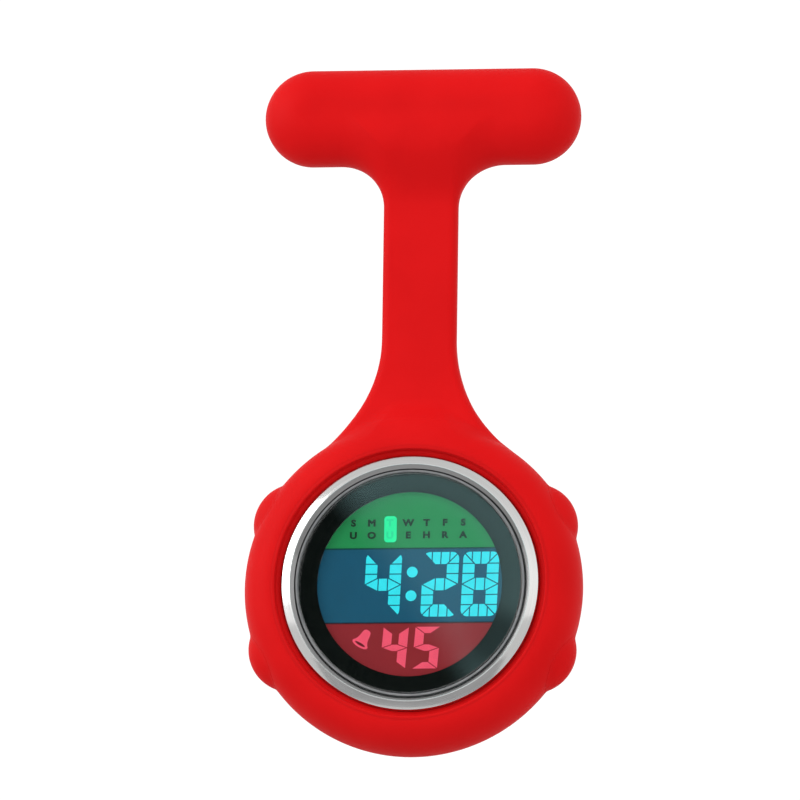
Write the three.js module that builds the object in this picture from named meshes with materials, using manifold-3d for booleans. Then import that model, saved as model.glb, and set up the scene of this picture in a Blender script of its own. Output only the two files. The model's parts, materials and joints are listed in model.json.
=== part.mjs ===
// Fob watch: a digital watch head in a one-piece silicone jacket that hangs from a T-bar brooch.
//
// Millimetres. +Z runs up the watch from the dial to the bar, +X to the right as the dial is read,
// and -Y is the front. The plane y = 0 is the flat back of the bar, which lies on the garment,
// and the origin is the middle of that back. Angles round the dial start at +X and turn to +Z.

import * as THREE from 'three';
import { mergeVertices } from 'three/addons/utils/BufferGeometryUtils.js';
import Module from 'manifold-3d';

const wasm = await Module();
wasm.setup();

// ---------------------------------------------------------------- driving dimensions

const HEAD_DROP = 61; // bar centre down to dial centre
const GAP = 0.3; // between neighbouring pieces

const BAR = { length: 39.9, height: 12.2, waist: -3.4, front: -7.6, flat: 0.4, rounding: 5 };
const RECESS = { length: 33, height: 5.8, floor: -3.7 };
const NECK = { halfWidth: 4.7, back: -3, front: -5.4, topFillet: 5.4, flare: 18.5 };
const RING = { radius: 21.2, waist: -6.4, front: -11, back: -1.2, frontFlat: 17.2, backFlat: 15.4 };
const POCKET = { radius: 17.2, front: -9.9, back: -2.1, mouth: 16.85, lip: 16.5, backMouth: 14.6 };
const BACK_CHAMFER = 0.2; // on the pocket's mouth at the back

const BASE = { length: 31, width: 4.4, front: -3.5, back: -2.9, earTop: 0.5, earHalf: 1.1, earMiddle: 1.4 };
const EAR_THICKNESS = 0.5;
const PIN = { hingeX: 13, axisY: -0.6, needle: 0.4, tipX: -15.2, taper: 3, eye: 1.15, eyeHalf: 0.85 };
const RIVET = { radius: 0.5, bore: 0.6, head: 0.85, headFrom: 1.8, headTo: 2.1 };
const CATCH = { x: -13.1, length: 2.2, outer: 2.2, inner: 1.55, slot: 1.9, foot: -2.8, footHalf: 1.6 };
const ROLLER = { from: -14.5, to: -11, outer: 1.4, inner: 0.75, slot: 1.3, tabReach: 2.5, tabHalf: 0.5 };

const CASE = { radius: 16.9, bore: 13.9, front: -9.6, back: -2.45 };
const CASE_SEAT = { radius: 15.3, y: -8.95 }; // where the bezel's foot rests in the case
const CASE_FLANGE = { bore: 11.7, front: -3.9 }; // that the case back is screwed to
const CASE_CHAMFER = { radius: 0.3, back: 0.4 };
const BEZEL = { outer: 16.2, skirt: 16, foot: 15, footBack: -9.2, skirtBack: -9.75, front: -11.05 };
const BEZEL_SLOPE = { top: -9.95, edge: -10.5, crestOuter: 15, crestInner: 14.85 };
const BEZEL_BORE = { mouth: 14.45, mouthBack: -10.7, ledge: -9.7, inner: 13.3 };
const CRYSTAL = { radius: 13.95, front: -10.95, back: -9.8, chamfer: 0.2 };
const GASKET = { inner: 14.05, outer: 14.35 };
const CASE_BACK = { radius: 14.2, front: -2.05, back: -0.9, bore: 11.5, web: -1.5, chamfer: 0.2 };
const BACK_GASKET = { inner: 11.8, outer: 12.2, front: -2.15 };

const MASK = { window: 11.45, outer: 13.2, back: -9.25, front: -9.45 };
const FILM = { radius: 12.2, back: -8.65, front: -8.8 };
const PANEL = { back: -6.95, front: -8.55, ledge: -7.75, ledgeFrom: 9.7 };
const GUIDE = { radius: 11.3, back: -5.9, front: -6.85, halfHeight: 9.4 };
const LAMP = { from: 11.4, to: 12.2, back: -5.1, front: -6.8, halfHeight: 1.1 };
const STRIP = { from: 9.9, to: 10.9, back: -5.1, front: -7.65, halfLength: 5 };
const FRAME = { inner: 12.45, lip: 11.8, outer: 13.6, back: -5.2, lipBack: -8.9, front: -9.1 };
const BOARD = { radius: 12.5, front: -5, back: -4.2 };
const CHIP = { from: 6.2, to: 9.8, halfHeight: 1.8, back: -3.2, front: -4.1 };
const TIMER = { x: 7, y: -3.4, radius: 0.65, from: 3.8, to: 8 };
const BATTERY = { radius: 8, x: -2.8, front: -4, back: -2.4 };
const BUZZER = { radius: 6.8, back: -1.6, front: -1.95 };
const BUZZER_SPRING = { x: 7, y: -4, z: -6.2, radius: 0.6, wire: 0.12, length: 1.8, turns: 3 };
const CLIP = { strap: -2.15, foot: -4.1, thickness: 0.2, width: 4.4 };
const SCREW = { circle: 13.1, shank: 0.5, head: 0.85, headBack: -0.88, headFront: -1.2, tip: -3.7 };
const SCREW_SLOT = { depth: 0.15, halfWidth: 0.13 };
const SCREW_ROOM = { caseBore: 0.1, lidBore: 0.15, head: 0.1, seat: 0.05 };
const SCREW_ANGLES = [45, 135, 225, 315];

const BUTTON_Y = -5.9;
const BUTTON_ANGLES = { upper_right: 28, upper_left: 152, lower_left: 208, lower_right: 332 };
const PAD = { halfArc: 3.6, halfDepth: 2.8, inner: 19.2, top: 22.4, domeRadius: 5.3 };
const STEM = { radius: 0.55, inner: 12.9, capFrom: 17.6, capTo: 19, capRadius: 2 };
const COUNTERBORE = { radius: 1.5, floor: 14.8, mouth: 18 };
const STEM_ROOM = 0.15; // round the stem in the case
const SPRING = { radius: 1.05, wire: 0.13, from: 15.6, length: 1.85, turns: 3.5 };
const SEAL = { radius: 0.98, cord: 0.24, from: 15.1 };
const STEM_CLIP = { outer: 1.1, room: 0.06, mouth: 35, thickness: 0.22, from: 13.45 };
const LEAF = { from: 11.75, to: 11.95, top: -0.7, halfWidth: 0.9 };
const FRAME_NOTCH = { halfDepth: 1.5, halfWidth: 1.6 };

const ROUND = 48; // facets round the rings that show
const INNER = 32; // facets round the discs and rings inside the case
const SMALL = 14; // facets round pins, screws and stems
const MERGE_DISTANCE = 1.37e-4; // an odd value, so that round sizes never fall on its rounding edges

// ---------------------------------------------------------------- finishes

const FINISHES = {
  silicone: { color: 0xda1918, roughness: 0.7, metalness: 0 },
  polishedSteel: { color: 0xe6e7e6, roughness: 0.15, metalness: 1 },
  steel: { color: 0xb8babc, roughness: 0.35, metalness: 1 },
  springSteel: { color: 0xc4bfae, roughness: 0.3, metalness: 1 },
  brass: { color: 0xc9a24a, roughness: 0.35, metalness: 1 },
  casePlastic: { color: 0x17181a, roughness: 0.5, metalness: 0 },
  framePlastic: { color: 0xd8d8d2, roughness: 0.6, metalness: 0 },
  rubber: { color: 0x1d1d1d, roughness: 0.8, metalness: 0 },
  glass: { color: 0xdfeae8, roughness: 0.03, metalness: 0 },
  maskInk: { color: 0x0d0e0d, roughness: 0.4, metalness: 0 },
  displayFilm: { color: 0x1d5a72, roughness: 0.3, metalness: 0 },
  displayGlass: { color: 0x2a3a44, roughness: 0.1, metalness: 0 },
  lightGuide: { color: 0xf4f6f4, roughness: 0.3, metalness: 0 },
  led: { color: 0xfff7d0, roughness: 0.3, metalness: 0 },
  board: { color: 0x1d5c34, roughness: 0.5, metalness: 0 },
  chip: { color: 0x101113, roughness: 0.6, metalness: 0 },
};

// ---------------------------------------------------------------- geometry helpers

const radians = THREE.MathUtils.degToRad;

function signedVolume(points, triangles) {
  const corner = [new THREE.Vector3(), new THREE.Vector3(), new THREE.Vector3()];
  let volume = 0;
  for (let i = 0; i < triangles.length; i += 3) {
    corner.forEach((v, k) => v.fromArray(points, 3 * triangles[i + k]));
    volume += corner[0].dot(corner[1].cross(corner[2])) / 6;
  }
  return volume;
}

// Turns a closed three.js geometry into a solid that can be joined and cut.
function solid(geometry) {
  const bare = new THREE.BufferGeometry();
  bare.setAttribute('position', geometry.getAttribute('position'));
  bare.setIndex(geometry.index);
  const merged = mergeVertices(bare, MERGE_DISTANCE);
  const points = new Float32Array(merged.getAttribute('position').array);
  const triangles = [];
  for (let i = 0; i < merged.index.count; i += 3) {
    const [a, b, c] = merged.index.array.slice(i, i + 3);
    if (a !== b && b !== c && c !== a) triangles.push(a, b, c);
  }
  if (signedVolume(points, triangles) < 0) triangles.reverse();
  const triVerts = new Uint32Array(triangles);
  return new wasm.Manifold(new wasm.Mesh({ numProp: 3, vertProperties: points, triVerts }));
}

function geometryOf(body) {
  const { vertProperties, triVerts } = body.getMesh();
  const geometry = new THREE.BufferGeometry();
  geometry.setAttribute('position', new THREE.BufferAttribute(vertProperties, 3));
  geometry.setIndex(new THREE.BufferAttribute(triVerts, 1));
  geometry.computeVertexNormals();
  return geometry;
}

function piece(name, finish, body) {
  const mesh = new THREE.Mesh(geometryOf(body), new THREE.MeshStandardMaterial(FINISHES[finish]));
  mesh.name = name;
  return mesh;
}

// A profile of [radius, y] pairs turned round the Y axis. A profile that starts off the axis
// is closed on itself.
function turnedGeometry(profile, segments = ROUND) {
  const points = profile.map(([r, y]) => new THREE.Vector2(r, y));
  if (profile[0][0] > 0) points.push(points[0].clone());
  return new THREE.LatheGeometry(points, segments);
}

const turned = (profile, segments) => solid(turnedGeometry(profile, segments));

// A profile of [radius, x] pairs turned round the X axis.
const alongX = (profile, segments = SMALL) => turnedGeometry(profile, segments).rotateZ(-Math.PI / 2);

// A ring of rectangular section round the Y axis.
const washer = (inner, outer, back, front, segments = INNER) =>
  turned([[inner, front], [outer, front], [outer, back], [inner, back]], segments);

const disc = (radius, back, front, segments = INNER) =>
  turned([[0, front], [radius, front], [radius, back], [0, back]], segments);

// Quarter of an ellipse as [radius, y] pairs, from its end along Y to its end along the radius.
function quarterEllipse(centre, radiusAxis, yAxis, steps) {
  return Array.from({ length: steps + 1 }, (_, i) => {
    const turn = (i / steps) * (Math.PI / 2);
    return [centre[0] + radiusAxis * Math.sin(turn), centre[1] + yAxis * Math.cos(turn)];
  });
}

function boxGeometry(x, y, z) {
  const box = new THREE.BoxGeometry(x[1] - x[0], y[1] - y[0], z[1] - z[0]);
  return box.translate((x[0] + x[1]) / 2, (y[0] + y[1]) / 2, (z[0] + z[1]) / 2);
}

const box = (x, y, z) => solid(boxGeometry(x, y, z));

const between = (a, b) => [Math.min(a, b), Math.max(a, b)];

// A stadium outline, centred on the origin, in the plane of X and Z.
function stadium(length, height) {
  const radius = height / 2;
  const shift = length / 2 - radius;
  const outline = new THREE.Shape();
  outline.absarc(shift, 0, radius, -Math.PI / 2, Math.PI / 2, false);
  outline.absarc(-shift, 0, radius, Math.PI / 2, (3 * Math.PI) / 2, false);
  return outline;
}

// An outline in X and Z made into a plate from y = back forward to y = front. Its edges can be
// rounded, `deep` along Y and `wide` across, without growing past the outline.
function plate(outline, back, front, { deep = 0, wide = 0, steps = 3, curveSegments = 12 } = {}) {
  const geometry = new THREE.ExtrudeGeometry(outline, {
    depth: back - front - 2 * deep,
    bevelEnabled: deep > 0,
    bevelThickness: deep,
    bevelSize: wide,
    bevelOffset: -wide,
    bevelSegments: steps,
    curveSegments,
  });
  return solid(geometry.rotateX(Math.PI / 2).translate(0, back - deep, 0));
}

class Helix extends THREE.Curve {
  constructor(radius, length, turns) {
    super();
    Object.assign(this, { radius, length, turns });
  }

  getPoint(t) {
    const turn = 2 * Math.PI * this.turns * t;
    return new THREE.Vector3(this.length * t, this.radius * Math.cos(turn), this.radius * Math.sin(turn));
  }
}

// A coil spring of round wire along +X, starting at x = 0.
function coil(radius, wire, length, turns) {
  const section = new THREE.Shape();
  section.absarc(0, 0, wire, 0, 2 * Math.PI, false);
  return new THREE.ExtrudeGeometry(section, {
    steps: Math.round(8 * turns),
    curveSegments: 2,
    bevelEnabled: false,
    extrudePath: new Helix(radius, length, turns),
  });
}

// ---------------------------------------------------------------- silicone jacket

function jacketBar() {
  const halfDepth = BAR.waist - BAR.front;
  const body = plate(stadium(BAR.length, BAR.height), BAR.waist + halfDepth, BAR.front, {
    deep: halfDepth - BAR.flat / 2,
    wide: BAR.rounding,
    steps: 5,
    curveSegments: 8,
  });
  const behind = box([-BAR.length, BAR.length], [0, halfDepth], [-BAR.height, BAR.height]);
  const recess = plate(stadium(RECESS.length, RECESS.height), 1, RECESS.floor);
  return body.subtract(behind).subtract(recess);
}

// The strap keeps clear of the bar above it and of the ring below it.
function jacketNeck() {
  const top = -BAR.height / 2 - GAP;
  const filletX = NECK.halfWidth + NECK.topFillet;
  const filletZ = top - NECK.topFillet;
  const flareX = NECK.halfWidth + NECK.flare;
  const reach = RING.radius + NECK.flare;
  const flareZ = Math.sqrt(reach ** 2 - flareX ** 2) - HEAD_DROP;
  const sweep = Math.asin((flareZ + HEAD_DROP) / reach);
  const blunt = radians(65); // the fillets end here, before they thin out along the bar
  const topX = filletX - NECK.topFillet * Math.cos(blunt);
  const footX = flareX - NECK.flare * Math.cos(sweep);
  const outline = new THREE.Shape();
  outline.moveTo(-topX, top);
  outline.lineTo(topX, top);
  outline.absarc(filletX, filletZ, NECK.topFillet, Math.PI - blunt, Math.PI, false);
  outline.absarc(flareX, flareZ, NECK.flare, Math.PI, Math.PI + sweep, false);
  outline.lineTo(footX, -HEAD_DROP);
  outline.lineTo(-footX, -HEAD_DROP);
  outline.absarc(-flareX, flareZ, NECK.flare, -sweep, 0, false);
  outline.absarc(-filletX, filletZ, NECK.topFillet, 0, blunt, false);
  const strap = plate(outline, NECK.back, NECK.front, { curveSegments: 8 });
  const ringRoom = turnedGeometry([[0, 1], [RING.radius + GAP, 1], [RING.radius + GAP, -12], [0, -12]]);
  return strap.subtract(solid(ringRoom.translate(0, 0, -HEAD_DROP)));
}

function jacketRing() {
  const frontDepth = RING.front - RING.waist;
  const backDepth = RING.back - RING.waist;
  const { radius, waist, frontFlat, backFlat } = RING;
  const shoulder = quarterEllipse([frontFlat, waist], radius - frontFlat, frontDepth, 4);
  const heel = quarterEllipse([backFlat, waist], radius - backFlat, backDepth, 4);
  const body = turned([
    [POCKET.lip, POCKET.front],
    [POCKET.mouth, RING.front + 0.1],
    ...shoulder,
    ...heel.reverse().slice(1),
    [POCKET.backMouth + BACK_CHAMFER, RING.back],
    [POCKET.backMouth, RING.back - BACK_CHAMFER],
    [POCKET.backMouth, POCKET.back],
    [POCKET.radius, POCKET.back],
    [POCKET.radius, POCKET.front],
  ]);
  const inside = POCKET.radius - 1;
  const outside = PAD.top + 1;
  return cutAtButtons(body, padShape([[0, inside], [1, inside], [1, outside], [0, outside]], GAP));
}

// ---------------------------------------------------------------- brooch pin in the bar

function pinBasePlate() {
  const strip = plate(stadium(BASE.length, BASE.width), BASE.back, BASE.front);
  const earX = [PIN.hingeX - BASE.earHalf, PIN.hingeX + BASE.earHalf];
  const earY = [(BASE.front + BASE.back) / 2, BASE.earTop];
  const ears = [-BASE.earMiddle, BASE.earMiddle].map((middle) => {
    return box(earX, earY, [middle - EAR_THICKNESS / 2, middle + EAR_THICKNESS / 2]);
  });
  const reach = BASE.width;
  const bore = solid(hingeCylinder([[0, -reach], [RIVET.bore, -reach], [RIVET.bore, reach], [0, reach]]));
  return strip.add(ears[0]).add(ears[1]).subtract(bore);
}

// A profile of [radius, z] pairs turned round the brooch hinge.
const hingeCylinder = (profile) =>
  turnedGeometry(profile, SMALL).rotateX(Math.PI / 2).translate(PIN.hingeX, PIN.axisY, 0);

function pinHingeRivet() {
  const { radius, head, headFrom, headTo } = RIVET;
  return solid(hingeCylinder([
    [0, -headTo], [head, -headTo], [head, -headFrom], [radius, -headFrom],
    [radius, headFrom], [head, headFrom], [head, headTo], [0, headTo],
  ]));
}

function pinTongue() {
  const { needle: radius, tipX, taper, eye, eyeHalf } = PIN;
  const root = PIN.hingeX - (eye + RIVET.bore) / 2;
  const tipRadius = radius / 7;
  const needle = alongX([
    [0, tipX], [tipRadius, tipX], [radius, tipX + taper], [radius, root], [0, root],
  ], 12);
  const loop = hingeCylinder([
    [RIVET.bore, -eyeHalf], [eye, -eyeHalf], [eye, eyeHalf], [RIVET.bore, eyeHalf],
  ]);
  return solid(needle.translate(0, PIN.axisY, 0)).add(solid(loop));
}

// A tube round the line that the needle closes on, open towards the back by a slot.
function slottedSleeve(from, to, inner, outer, slot) {
  const sleeve = alongX([[inner, from], [outer, from], [outer, to], [inner, to]]);
  const opening = box([from - 1, to + 1], [PIN.axisY, PIN.axisY + 4], [-slot / 2, slot / 2]);
  return solid(sleeve.translate(0, PIN.axisY, 0)).subtract(opening);
}

function catchBody() {
  const ends = [CATCH.x - CATCH.length / 2, CATCH.x + CATCH.length / 2];
  const footBack = PIN.axisY - (CATCH.inner + CATCH.outer) / 2;
  const foot = box(ends, [CATCH.foot, footBack], [-CATCH.footHalf, CATCH.footHalf]);
  return slottedSleeve(...ends, CATCH.inner, CATCH.outer, CATCH.slot).add(foot);
}

function catchRoller() {
  const tabX = [CATCH.x + CATCH.length / 2 + GAP, ROLLER.to];
  const tabY = [PIN.axisY - ROLLER.tabHalf, PIN.axisY + ROLLER.tabHalf];
  const tab = box(tabX, tabY, [(ROLLER.inner + ROLLER.outer) / 2, ROLLER.tabReach]);
  return slottedSleeve(ROLLER.from, ROLLER.to, ROLLER.inner, ROLLER.outer, ROLLER.slot).add(tab);
}

// ---------------------------------------------------------------- watch case

const bezel = () =>
  turned([
    [BEZEL.foot, BEZEL.footBack], [BEZEL.foot, BEZEL.skirtBack], [BEZEL.skirt, BEZEL.skirtBack],
    [BEZEL.outer, BEZEL_SLOPE.top], [BEZEL.outer, BEZEL_SLOPE.edge],
    [BEZEL_SLOPE.crestOuter, BEZEL.front], [BEZEL_SLOPE.crestInner, BEZEL.front],
    [BEZEL_BORE.mouth, BEZEL_BORE.mouthBack], [BEZEL_BORE.mouth, BEZEL_BORE.ledge],
    [BEZEL_BORE.inner, BEZEL_BORE.ledge], [BEZEL_BORE.inner, BEZEL.footBack],
  ]);

function caseBody() {
  const shoulder = CASE.radius - CASE_CHAMFER.radius;
  const body = turned([
    [CASE.radius, CASE.back - CASE_CHAMFER.back], [shoulder, CASE.back],
    [CASE_FLANGE.bore, CASE.back],
    [CASE_FLANGE.bore, CASE_FLANGE.front], [CASE.bore, CASE_FLANGE.front], [CASE.bore, CASE_SEAT.y],
    [CASE_SEAT.radius, CASE_SEAT.y], [CASE_SEAT.radius, CASE.front], [shoulder, CASE.front],
    [CASE.radius, CASE.front + CASE_CHAMFER.radius],
  ]);
  const stemBore = STEM.radius + STEM_ROOM;
  const bore = alongX([
    [0, CASE.bore - 1], [stemBore, CASE.bore - 1], [stemBore, COUNTERBORE.floor],
    [COUNTERBORE.radius, COUNTERBORE.floor], [COUNTERBORE.radius, COUNTERBORE.mouth],
    [0, COUNTERBORE.mouth],
  ]);
  return cutAtScrews(cutAtButtons(body, bore), SCREW.shank + SCREW_ROOM.caseBore);
}

const crystal = () =>
  turned([
    [0, CRYSTAL.back], [CRYSTAL.radius, CRYSTAL.back], [CRYSTAL.radius, CRYSTAL.front + CRYSTAL.chamfer],
    [CRYSTAL.radius - CRYSTAL.chamfer, CRYSTAL.front], [0, CRYSTAL.front],
  ]);

const crystalGasket = () => washer(GASKET.inner, GASKET.outer, CRYSTAL.back, CRYSTAL.front + GAP);

const caseBackGasket = () =>
  washer(BACK_GASKET.inner, BACK_GASKET.outer, BACK_GASKET.front, CASE.back + 0.05);

function caseBack() {
  const { radius, front, back, bore, web, chamfer } = CASE_BACK;
  const lid = turned([
    [0, web], [bore, web], [bore, front], [radius, front], [radius, back - chamfer],
    [radius - chamfer, back], [0, back],
  ]);
  const holed = cutAtScrews(lid, SCREW.shank + SCREW_ROOM.lidBore);
  return cutAtScrews(holed, SCREW.head + SCREW_ROOM.head, SCREW.headFront - SCREW_ROOM.seat);
}

function screwPlace(angle) {
  return [SCREW.circle * Math.cos(radians(angle)), SCREW.circle * Math.sin(radians(angle))];
}

// Bores a hole at each case back screw, from the back forward to y = front.
function cutAtScrews(body, radius, front = -5) {
  return SCREW_ANGLES.reduce((rest, angle) => {
    const [x, z] = screwPlace(angle);
    const drill = turnedGeometry([[0, front], [radius, front], [radius, 0], [0, 0]], SMALL);
    return rest.subtract(solid(drill.translate(x, 0, z)));
  }, body);
}

function caseBackScrew() {
  const { shank, head, tip, headFront, headBack } = SCREW;
  const body = turned([
    [0, tip], [shank, tip], [shank, headFront], [head, headFront], [head, headBack], [0, headBack],
  ], SMALL);
  const { depth, halfWidth } = SCREW_SLOT;
  return body.subtract(box([-1, 1], [headBack - depth, 0], [-halfWidth, halfWidth]));
}

// ---------------------------------------------------------------- watch module

function lcdPanel() {
  const reach = 2 * FILM.radius;
  const ledges = [-1, 1].map((side) => {
    const z = between(side * PANEL.ledgeFrom, side * reach);
    return box([-reach, reach], [PANEL.ledge, PANEL.back + 1], z);
  });
  return disc(FILM.radius, PANEL.back, PANEL.front).subtract(ledges[0]).subtract(ledges[1]);
}

function lightGuide() {
  const { radius, back, front, halfHeight } = GUIDE;
  return disc(radius, back, front).intersect(box([-13, 13], [-8, -5], [-halfHeight, halfHeight]));
}

function backlightLamp(side) {
  const x = between(side * LAMP.from, side * LAMP.to);
  return box(x, [LAMP.front, LAMP.back], [-LAMP.halfHeight, LAMP.halfHeight]);
}

function contactStrip(side) {
  const z = between(side * STRIP.from, side * STRIP.to);
  return box([-STRIP.halfLength, STRIP.halfLength], [STRIP.front, STRIP.back], z);
}

function moduleFrame() {
  const ring = turned([
    [FRAME.inner, FRAME.back], [FRAME.inner, FRAME.lipBack], [FRAME.lip, FRAME.lipBack],
    [FRAME.lip, FRAME.front], [FRAME.outer, FRAME.front], [FRAME.outer, FRAME.back],
  ], INNER);
  const { halfDepth, halfWidth } = FRAME_NOTCH;
  const across = [FRAME.lip - 1, FRAME.outer + 1];
  const notch = boxGeometry(across, [-halfDepth, halfDepth], [-halfWidth, halfWidth]);
  return cutAtButtons(ring, notch);
}

// A sprung strap over the battery, with a leg down to the board at each side.
function batteryClip() {
  const { strap, foot, thickness } = CLIP;
  const reach = BATTERY.radius + 0.3;
  const outline = new THREE.Shape();
  outline.moveTo(-reach, foot);
  outline.lineTo(-reach + thickness, foot);
  outline.lineTo(-reach + thickness, strap - thickness);
  outline.lineTo(reach - thickness, strap - thickness);
  outline.lineTo(reach - thickness, foot);
  outline.lineTo(reach, foot);
  outline.lineTo(reach, strap);
  outline.lineTo(-reach, strap);
  const strip = new THREE.ExtrudeGeometry(outline, { depth: CLIP.width, bevelEnabled: false });
  return solid(strip.translate(BATTERY.x, 0, -CLIP.width / 2));
}

const driverChip = () =>
  box([CHIP.from, CHIP.to], [CHIP.front, CHIP.back], [-CHIP.halfHeight, CHIP.halfHeight]);

function timingCrystal() {
  const { x, y, radius, from, to } = TIMER;
  const can = turnedGeometry([[0, from], [radius, from], [radius, to], [0, to]], 12);
  return solid(can.rotateX(Math.PI / 2).translate(x, y, 0));
}

function buzzerSpring() {
  const { x, y, z, radius, wire, length, turns } = BUZZER_SPRING;
  return solid(coil(radius, wire, length, turns).rotateZ(Math.PI / 2).translate(x, y, z));
}

// ---------------------------------------------------------------- buttons

// Turns a geometry built along +X, about the middle of a button, to that button's place.
function atButton(geometry, angle) {
  return geometry.clone().rotateY(-radians(angle)).translate(0, BUTTON_Y, 0);
}

function cutAtButtons(body, cutter) {
  return Object.values(BUTTON_ANGLES).reduce((rest, angle) => {
    return rest.subtract(solid(atButton(cutter, angle)));
  }, body);
}

// A profile of [fraction of the pad's outline, x] pairs, on the pad's oval outline grown by `extra`.
function padShape(profile, extra = 0) {
  return alongX(profile, 20).scale(1, PAD.halfDepth + extra, PAD.halfArc + extra);
}

function buttonPad() {
  const centre = PAD.top - PAD.domeRadius;
  const dome = [1, 0.85, 0.65, 0.4, 0].map((part) => {
    return [part, centre + Math.sqrt(PAD.domeRadius ** 2 - (PAD.halfArc * part) ** 2)];
  });
  return padShape([[0, PAD.inner], [1, PAD.inner], ...dome]);
}

const buttonStem = () =>
  alongX([
    [0, STEM.inner], [STEM.radius - 0.15, STEM.inner], [STEM.radius, STEM.inner + 0.2],
    [STEM.radius, STEM.capFrom], [STEM.capRadius, STEM.capFrom], [STEM.capRadius, STEM.capTo - 0.3],
    [STEM.capRadius - 0.4, STEM.capTo], [0, STEM.capTo],
  ]);

const buttonSpring = () =>
  coil(SPRING.radius, SPRING.wire, SPRING.length, SPRING.turns).translate(SPRING.from, 0, 0);

const buttonSeal = () =>
  new THREE.TorusGeometry(SEAL.radius, SEAL.cord, 5, SMALL).rotateY(Math.PI / 2).translate(SEAL.from, 0, 0);

// A retaining clip: a flat ring across the stem with a mouth on one side.
function buttonClip() {
  const { outer, room, thickness, from } = STEM_CLIP;
  const ring = new THREE.Shape();
  const mouth = radians(STEM_CLIP.mouth);
  ring.absarc(0, 0, outer, mouth, 2 * Math.PI - mouth, false);
  ring.absarc(0, 0, STEM.radius + room, 2 * Math.PI - mouth, mouth, true);
  const options = { depth: thickness, bevelEnabled: false, curveSegments: 10 };
  const sheet = new THREE.ExtrudeGeometry(ring, options);
  return sheet.rotateY(Math.PI / 2).translate(from, 0, 0);
}

// A sprung contact that stands on the board in front of the stem's inner end.
function contactLeaf() {
  const foot = BOARD.front - 0.1 - BUTTON_Y;
  return boxGeometry([LEAF.from, LEAF.to], [LEAF.top, foot], [-LEAF.halfWidth, LEAF.halfWidth]);
}

// ---------------------------------------------------------------- assembly

function silicone() {
  const group = new THREE.Group();
  const ring = piece('jacket_ring', 'silicone', jacketRing());
  ring.position.z = -HEAD_DROP;
  group.add(
    piece('jacket_bar', 'silicone', jacketBar()),
    piece('jacket_neck', 'silicone', jacketNeck()),
    ring,
  );
  return group;
}

function brooch() {
  const group = new THREE.Group();
  group.add(
    piece('pin_base_plate', 'steel', pinBasePlate()),
    piece('pin_hinge_rivet', 'steel', pinHingeRivet()),
    piece('pin_tongue', 'polishedSteel', pinTongue()),
    piece('catch_body', 'steel', catchBody()),
    piece('catch_roller', 'polishedSteel', catchRoller()),
  );
  return group;
}

function watchCase() {
  const group = new THREE.Group();
  group.add(
    piece('front_bezel', 'polishedSteel', bezel()),
    piece('case_body', 'casePlastic', caseBody()),
    piece('crystal', 'glass', crystal()),
    piece('crystal_gasket', 'framePlastic', crystalGasket()),
    piece('case_back', 'polishedSteel', caseBack()),
    piece('case_back_gasket', 'rubber', caseBackGasket()),
  );
  SCREW_ANGLES.forEach((angle, i) => {
    const screw = piece(`case_back_screw_${i + 1}`, 'steel', caseBackScrew());
    const [x, z] = screwPlace(angle);
    screw.position.set(x, 0, z);
    group.add(screw);
  });
  return group;
}

function watchModule() {
  const group = new THREE.Group();
  group.add(
    piece('dial_mask', 'maskInk', washer(MASK.window, MASK.outer, MASK.back, MASK.front)),
    piece('colour_film', 'displayFilm', disc(FILM.radius, FILM.back, FILM.front)),
    piece('lcd_panel', 'displayGlass', lcdPanel()),
    piece('light_guide', 'lightGuide', lightGuide()),
    piece('backlight_led_left', 'led', backlightLamp(-1)),
    piece('backlight_led_right', 'led', backlightLamp(1)),
    piece('contact_strip_upper', 'rubber', contactStrip(1)),
    piece('contact_strip_lower', 'rubber', contactStrip(-1)),
    piece('module_frame', 'framePlastic', moduleFrame()),
    piece('circuit_board', 'board', disc(BOARD.radius, BOARD.back, BOARD.front)),
    piece('display_driver_chip', 'chip', driverChip()),
    piece('timing_crystal', 'steel', timingCrystal()),
    piece('battery_clip', 'springSteel', batteryClip()),
    piece('piezo_buzzer', 'brass', disc(BUZZER.radius, BUZZER.back, BUZZER.front)),
    piece('buzzer_spring', 'springSteel', buzzerSpring()),
  );
  const battery = piece('battery', 'steel', disc(BATTERY.radius, BATTERY.back, BATTERY.front));
  battery.position.x = BATTERY.x;
  group.add(battery);
  return group;
}

function button(name, angle) {
  const group = new THREE.Group();
  group.position.y = BUTTON_Y;
  group.rotation.y = -radians(angle);
  group.add(
    piece(`button_pad_${name}`, 'silicone', solid(buttonPad())),
    piece(`button_stem_${name}`, 'steel', solid(buttonStem())),
    piece(`button_spring_${name}`, 'springSteel', solid(buttonSpring())),
    piece(`button_seal_${name}`, 'rubber', solid(buttonSeal())),
    piece(`button_clip_${name}`, 'springSteel', solid(buttonClip())),
    piece(`contact_leaf_${name}`, 'springSteel', solid(contactLeaf())),
  );
  return group;
}

const head = new THREE.Group();
head.position.z = -HEAD_DROP;
head.add(watchCase(), watchModule());
Object.entries(BUTTON_ANGLES).forEach(([name, angle]) => head.add(button(name, angle)));

const fobWatch = new THREE.Group();
fobWatch.add(silicone(), brooch(), head);

export default fobWatch;
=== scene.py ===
"""The looks of a silicone fob watch with a round digital display.

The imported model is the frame. Lengths in this script are millimetres in that frame (+Z up the
watch, -Y its front) unless a name says otherwise, and MM turns them into Blender's metres.
"""

import json
import math

import bmesh
import bpy
import numpy as np
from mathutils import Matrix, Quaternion, Vector
from mathutils.geometry import tessellate_polygon


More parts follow.
